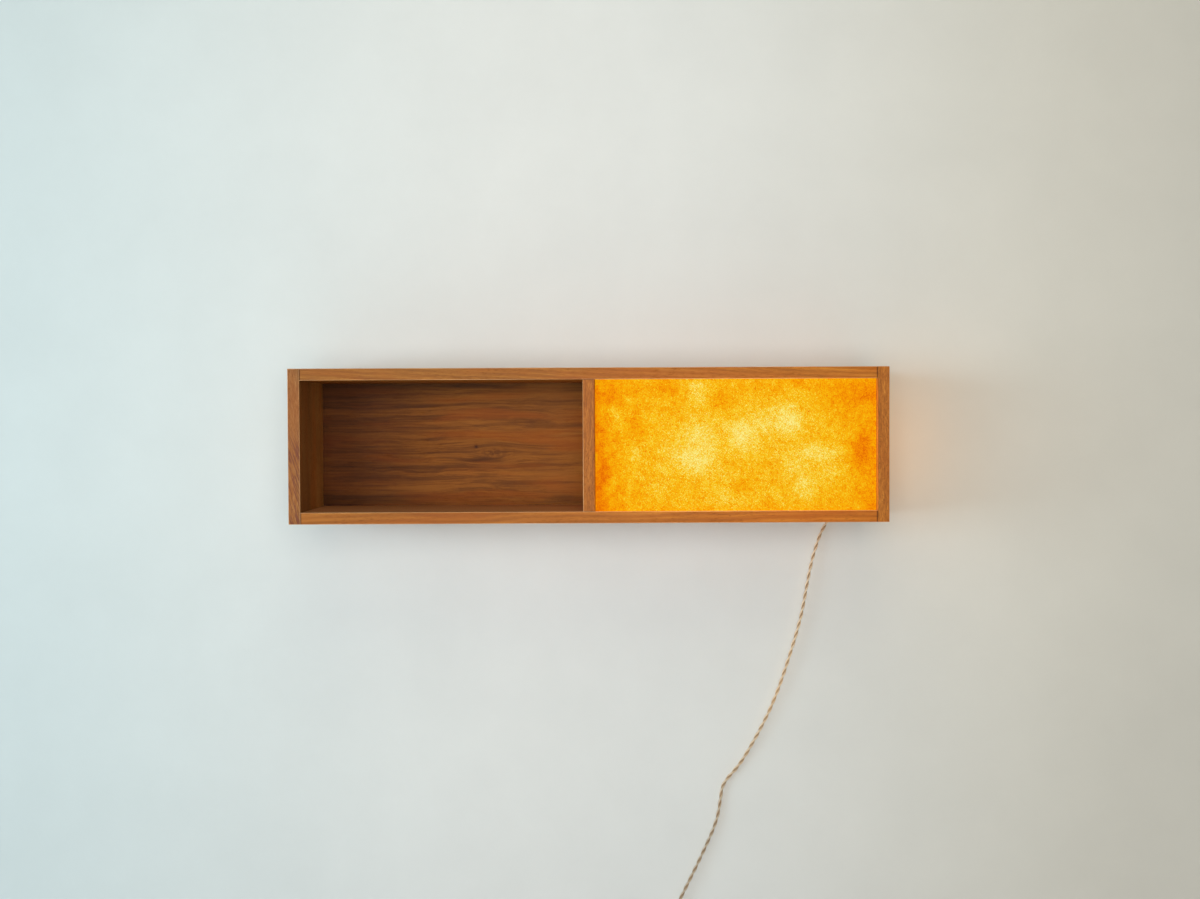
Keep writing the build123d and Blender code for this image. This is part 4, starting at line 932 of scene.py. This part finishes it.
# Simple finishes: a base colour broken by noise, with a fine bump
plainLook = {
    "cloudScale": 60.0, "fineScale": 1500.0, "stretch": (1, 1, 1), "cloudShare": 0.6, "fineShare": 0.4,
    "rampFrom": (0.3, 0.7), "metal": 0.0, "coat": 0.0, "bump": 0.15, "bumpDepth": 0.0002,
}
finishes = {
    "steel": {"dark": hue(120, 120, 122), "light": hue(178, 178, 180), "metal": 1.0,
              "roughness": (0.25, 0.45), "stretch": (1, 1, 0.1)},
    "brass": {"dark": hue(150, 118, 56), "light": hue(206, 172, 98), "metal": 1.0,
              "roughness": (0.2, 0.4)},
    "capMetal": {"dark": hue(150, 150, 150), "light": hue(196, 196, 194), "metal": 1.0,
                 "roughness": (0.2, 0.35)},
    "pinMetal": {"dark": hue(170, 164, 150), "light": hue(212, 206, 190), "metal": 1.0,
                 "roughness": (0.15, 0.3)},
    "bracketPaint": {"dark": hue(196, 194, 186), "light": hue(214, 212, 204), "roughness": (0.4, 0.55),
                     "fineScale": 900.0, "bump": 0.25},
    "blackPlastic": {"dark": hue(16, 16, 16), "light": hue(30, 29, 28), "roughness": (0.3, 0.45)},
    "ceramic": {"dark": hue(224, 219, 206), "light": hue(240, 236, 226), "roughness": (0.12, 0.2),
                "coat": 0.5},
    "palePlastic": {"dark": hue(218, 214, 202), "light": hue(232, 229, 219), "roughness": (0.35, 0.5)},
    "ivoryPlastic": {"dark": hue(214, 198, 162), "light": hue(228, 214, 182), "roughness": (0.22, 0.36),
                     "coat": 0.2},
    "leadSleeve": {"dark": hue(96, 62, 34), "light": hue(132, 92, 54), "roughness": (0.5, 0.7)},
    "leather": {"dark": hue(74, 40, 20), "light": hue(118, 70, 38), "roughness": (0.45, 0.65),
                "cloudScale": 180.0, "fineScale": 2200.0, "bump": 0.6},
    "opalSheet": {"dark": hue(240, 224, 186), "light": hue(250, 240, 214), "roughness": (0.3, 0.4),
                  "glow": 0.8, "glowColour": hue(255, 214, 140)},
    "opalGlass": {"dark": hue(250, 240, 220), "light": hue(255, 250, 238), "roughness": (0.2, 0.3),
                  "glow": 3.0, "glowColour": hue(255, 214, 150)},
}
wearers = {
    "steel": ("batten_screw", "bracket_screws", "clamp_screws", "switch_screws", "terminal_screws"),
    "brass": ("holder_nipple", "holder_nut", "holder_shell", "holder_contact", "terminal_sleeves",
              "switch_terminals", "bulb_contact"),
    "capMetal": ("bulb_cap",),
    "pinMetal": ("plug_pins",),
    "bracketPaint": ("lamp_bracket", "cord_clamp"),
    "blackPlastic": ("holder_cap", "holder_skirt", "bulb_insulator"),
    "ceramic": ("holder_insert",),
    "palePlastic": ("terminal_block", "bulb_collar", "led_disc"),
    "ivoryPlastic": ("switch_back_shell", "switch_front_shell", "switch_rocker", "plug_boot", "plug_body"),
    "leadSleeve": ("lead_live", "lead_neutral"),
    "leather": ("cord_tie",),
    "opalSheet": ("diffuser_sheet",),
    "opalGlass": ("bulb_globe",),
}


def plainMaterial(name, look):
    material, tree, shader = newMaterial(name)
    point = objectPoint(tree)
    cloud = noise(tree, point, look["cloudScale"], 3.0)
    fine = noise(tree, mapped(tree, point, look["stretch"]), look["fineScale"], 3.0)
    tone = addShare(tree, times(tree, cloud, look["cloudShare"]), fine, look["fineShare"])
    darkAt, lightAt = look["rampFrom"]
    colour = ramp(tree, tone, ((darkAt, look["dark"]), (lightAt, look["light"])))
    tree.links.new(colour, shader.inputs["Base Color"])
    tree.links.new(spread(tree, cloud, *look["roughness"]), shader.inputs["Roughness"])
    shader.inputs["Metallic"].default_value = look["metal"]
    shader.inputs["Coat Weight"].default_value = look["coat"]
    if "glow" in look:
        shader.inputs["Emission Color"].default_value = (*look["glowColour"], 1.0)
        shader.inputs["Emission Strength"].default_value = look["glow"]
    bump(tree, shader, fine, look["bump"], look["bumpDepth"])
    return material


for finish, wearing in wearers.items():
    plainFinish = plainMaterial(finish, {**plainLook, **finishes[finish]})
    for plainNode in wearing:
        dress(plainNode, plainFinish)
dress("diffuser_paper", paperMaterial("amberPaper", paperLook))
print("finishes made")


# Studio: a pale wall that is see-through from behind, a pale floor, soft cool and warm lights
studio = {
    "halfWidth": 4.0,
    "wallY": 0.0005,      # just behind the part's back
    "wallTop": 2.0,
    "wall": (hue(226, 230, 231), hue(231, 235, 236)),
    "wallFrom": (0.3, 0.7),
    "plaster": (6.0, 6.0, 0.6),         # scale, detail and roughness of a noise, as in wallBumpNoise
    # painted light: the wall is cooler at the left, where the window light falls, and warmer at the right
    "wallShades": (("X", -0.9, -0.05, (0.88, 0.97, 0.99)), ("X", 0.75, 0.05, (0.97, 0.93, 0.86))),
    # painted light: a bright pool round this middle, darker away from it
    "wallSpot": (0.0, 0.2, 1.0, 1.0),   # x, z, half width and half height of its bright middle
    "wallDim": 0.20,      # how much darker it is far from there
    "wallBumpNoise": (90.0, 5.0, 0.7),
    "wallBump": (0.08, 0.002),
    "wallRoughness": 0.9,
    "floor": hue(222, 220, 216),
    "floorRoughness": 0.8,
    "floorZ": -1.6,
    "backdrop": (0.80, 0.80, 0.79),     # what the camera sees past the wall and floor
    "world": (1.0, 0.92, 0.78),
    "worldStrength": 0.17,
    # name, place, target, size, watts, colour
    "lights": (
        ("roomFront", (0.0, -2.4, 0.1), (0.0, 0.0, 0.05), (1.2, 1.2), 24.1, (1.0, 0.88, 0.78)),
        ("roomTop", (0.0, -1.6, 1.8), (0.0, 0.0, 0.0), (1.2, 1.0), 9.5, (1.0, 0.95, 0.74)),
        ("windowFar", (-3.6, -3.1, 0.0), (0.0, 0.0, 0.0), (1.6, 1.2), 47.0, (0.72, 0.90, 1.0)),
        ("windowNear", (-2.6, -1.3, 0.0), (0.0, 0.0, 0.0), (0.8, 1.2), 19.0, (0.72, 0.90, 1.0)),
        ("windowSteep", (-1.4, -2.6, 0.1), (0.0, 0.0, -0.03), (0.8, 0.8), 8.0, (0.72, 0.90, 1.0)),
        ("behindWall", (0.5, 2.6, 0.9), (0.0, 0.0, -0.1), (2.0, 2.0), 75.0, (1.0, 0.98, 0.95)),
        # the lamp's warm patch on the wall past its end
        ("wallGlow", (0.3815, -0.088, -0.032076), (1.0, -0.088, -0.032076), (0.124, 0.164), 0.074,
         (1.0, 0.38, 0.0)),
        # the lit paper throws its light on the inner edges of its opening
        ("paperGlow", (0.18625, -0.1546, -0.032076), (0.18625, -1.0, -0.032076), (0.354, 0.164), 0.6,
         (1.0, 0.46, 0.04)),
    ),
}


def wallMaterial():
    material, tree, shader = newMaterial("wallPaint")
    point = objectPoint(tree)
    darkAt, lightAt = studio["wallFrom"]
    dark, light = studio["wall"]
    paintAndLight = ramp(tree, noise(tree, point, *studio["plaster"]), ((darkAt, dark), (lightAt, light)))
    # painted light: cooler at the left and warmer at the right
    for shade in studio["wallShades"]:
        paintAndLight = shaded(tree, paintAndLight, point, *shade)
    # painted falloff of light away from the bright middle
    lightFalloff = spread(tree, softSpot(tree, point, *studio["wallSpot"]), 1.0 - studio["wallDim"], 1.0)
    tree.links.new(multiplied(tree, paintAndLight, lightFalloff), shader.inputs["Base Color"])
    shader.inputs["Roughness"].default_value = studio["wallRoughness"]
    bump(tree, shader, noise(tree, point, *studio["wallBumpNoise"]), *studio["wallBump"])
    # the wall neither hides the back of the box nor keeps light off it
    unseen = calc(tree, "MAXIMUM", put(tree, "ShaderNodeNewGeometry").outputs["Backfacing"],
                  put(tree, "ShaderNodeLightPath").outputs["Is Shadow Ray"])
    clear = put(tree, "ShaderNodeBsdfTransparent").outputs[0]
    mix = put(tree, "ShaderNodeMixShader", {0: unseen, 1: shader.outputs[0], 2: clear})
    tree.links.new(mix.outputs[0], tree.nodes["Material Output"].inputs[0])
    return material


def floorMaterial():
    material, _, shader = newMaterial("floorPaint")
    shader.inputs["Base Color"].default_value = (*studio["floor"], 1.0)
    shader.inputs["Roughness"].default_value = studio["floorRoughness"]
    return material


def addStage(name, corners, material):
    mesh = bpy.data.meshes.new(name)
    mesh.from_pydata(corners, [], [(0, 1, 2, 3)])
    mesh.materials.append(material)
    thing = bpy.data.objects.new(name, mesh)
    scene.collection.objects.link(thing)


def addWorld():
    world = bpy.data.worlds.new("world")
    world.use_nodes = True
    tree = world.node_tree
    ambient = tree.nodes["Background"]
    ambient.inputs[0].default_value = (*studio["world"], 1.0)
    ambient.inputs[1].default_value = studio["worldStrength"]
    backdrop = put(tree, "ShaderNodeBackground", {0: (*studio["backdrop"], 1.0)}).outputs[0]
    seen = put(tree, "ShaderNodeLightPath").outputs["Is Camera Ray"]
    both = put(tree, "ShaderNodeMixShader", {0: seen, 1: ambient.outputs[0], 2: backdrop}).outputs[0]
    tree.links.new(both, tree.nodes["World Output"].inputs[0])
    scene.world = world


def addLight(name, place, target, size, watts, colour):
    data = bpy.data.lights.new(name, "AREA")
    data.shape = "RECTANGLE"
    data.size, data.size_y = size
    data.energy, data.color = watts, colour
    light = bpy.data.objects.new(name, data)
    light.location = place
    aimX, aimY, aimZ = np.array(target) - np.array(place)
    pitch = math.atan2(aimZ, math.hypot(aimX, aimY))
    yaw = math.atan2(aimY, aimX) - math.pi / 2
    light.rotation_euler = Euler((math.pi / 2 + pitch, 0.0, yaw))
    light.visible_camera = False
    scene.collection.objects.link(light)


def buildStudio():
    side, wallY, top, low = (studio[size] for size in ("halfWidth", "wallY", "wallTop", "floorZ"))
    wall = [(-side, wallY, low), (side, wallY, low), (side, wallY, top), (-side, wallY, top)]
    floor = [(-side, -side, low), (side, -side, low), (side, side, low), (-side, side, low)]
    addStage("wall", wall, wallMaterial())
    addStage("floor", floor, floorMaterial())
    addWorld()
    for light in studio["lights"]:
        addLight(*light)


buildStudio()
print("studio lit")
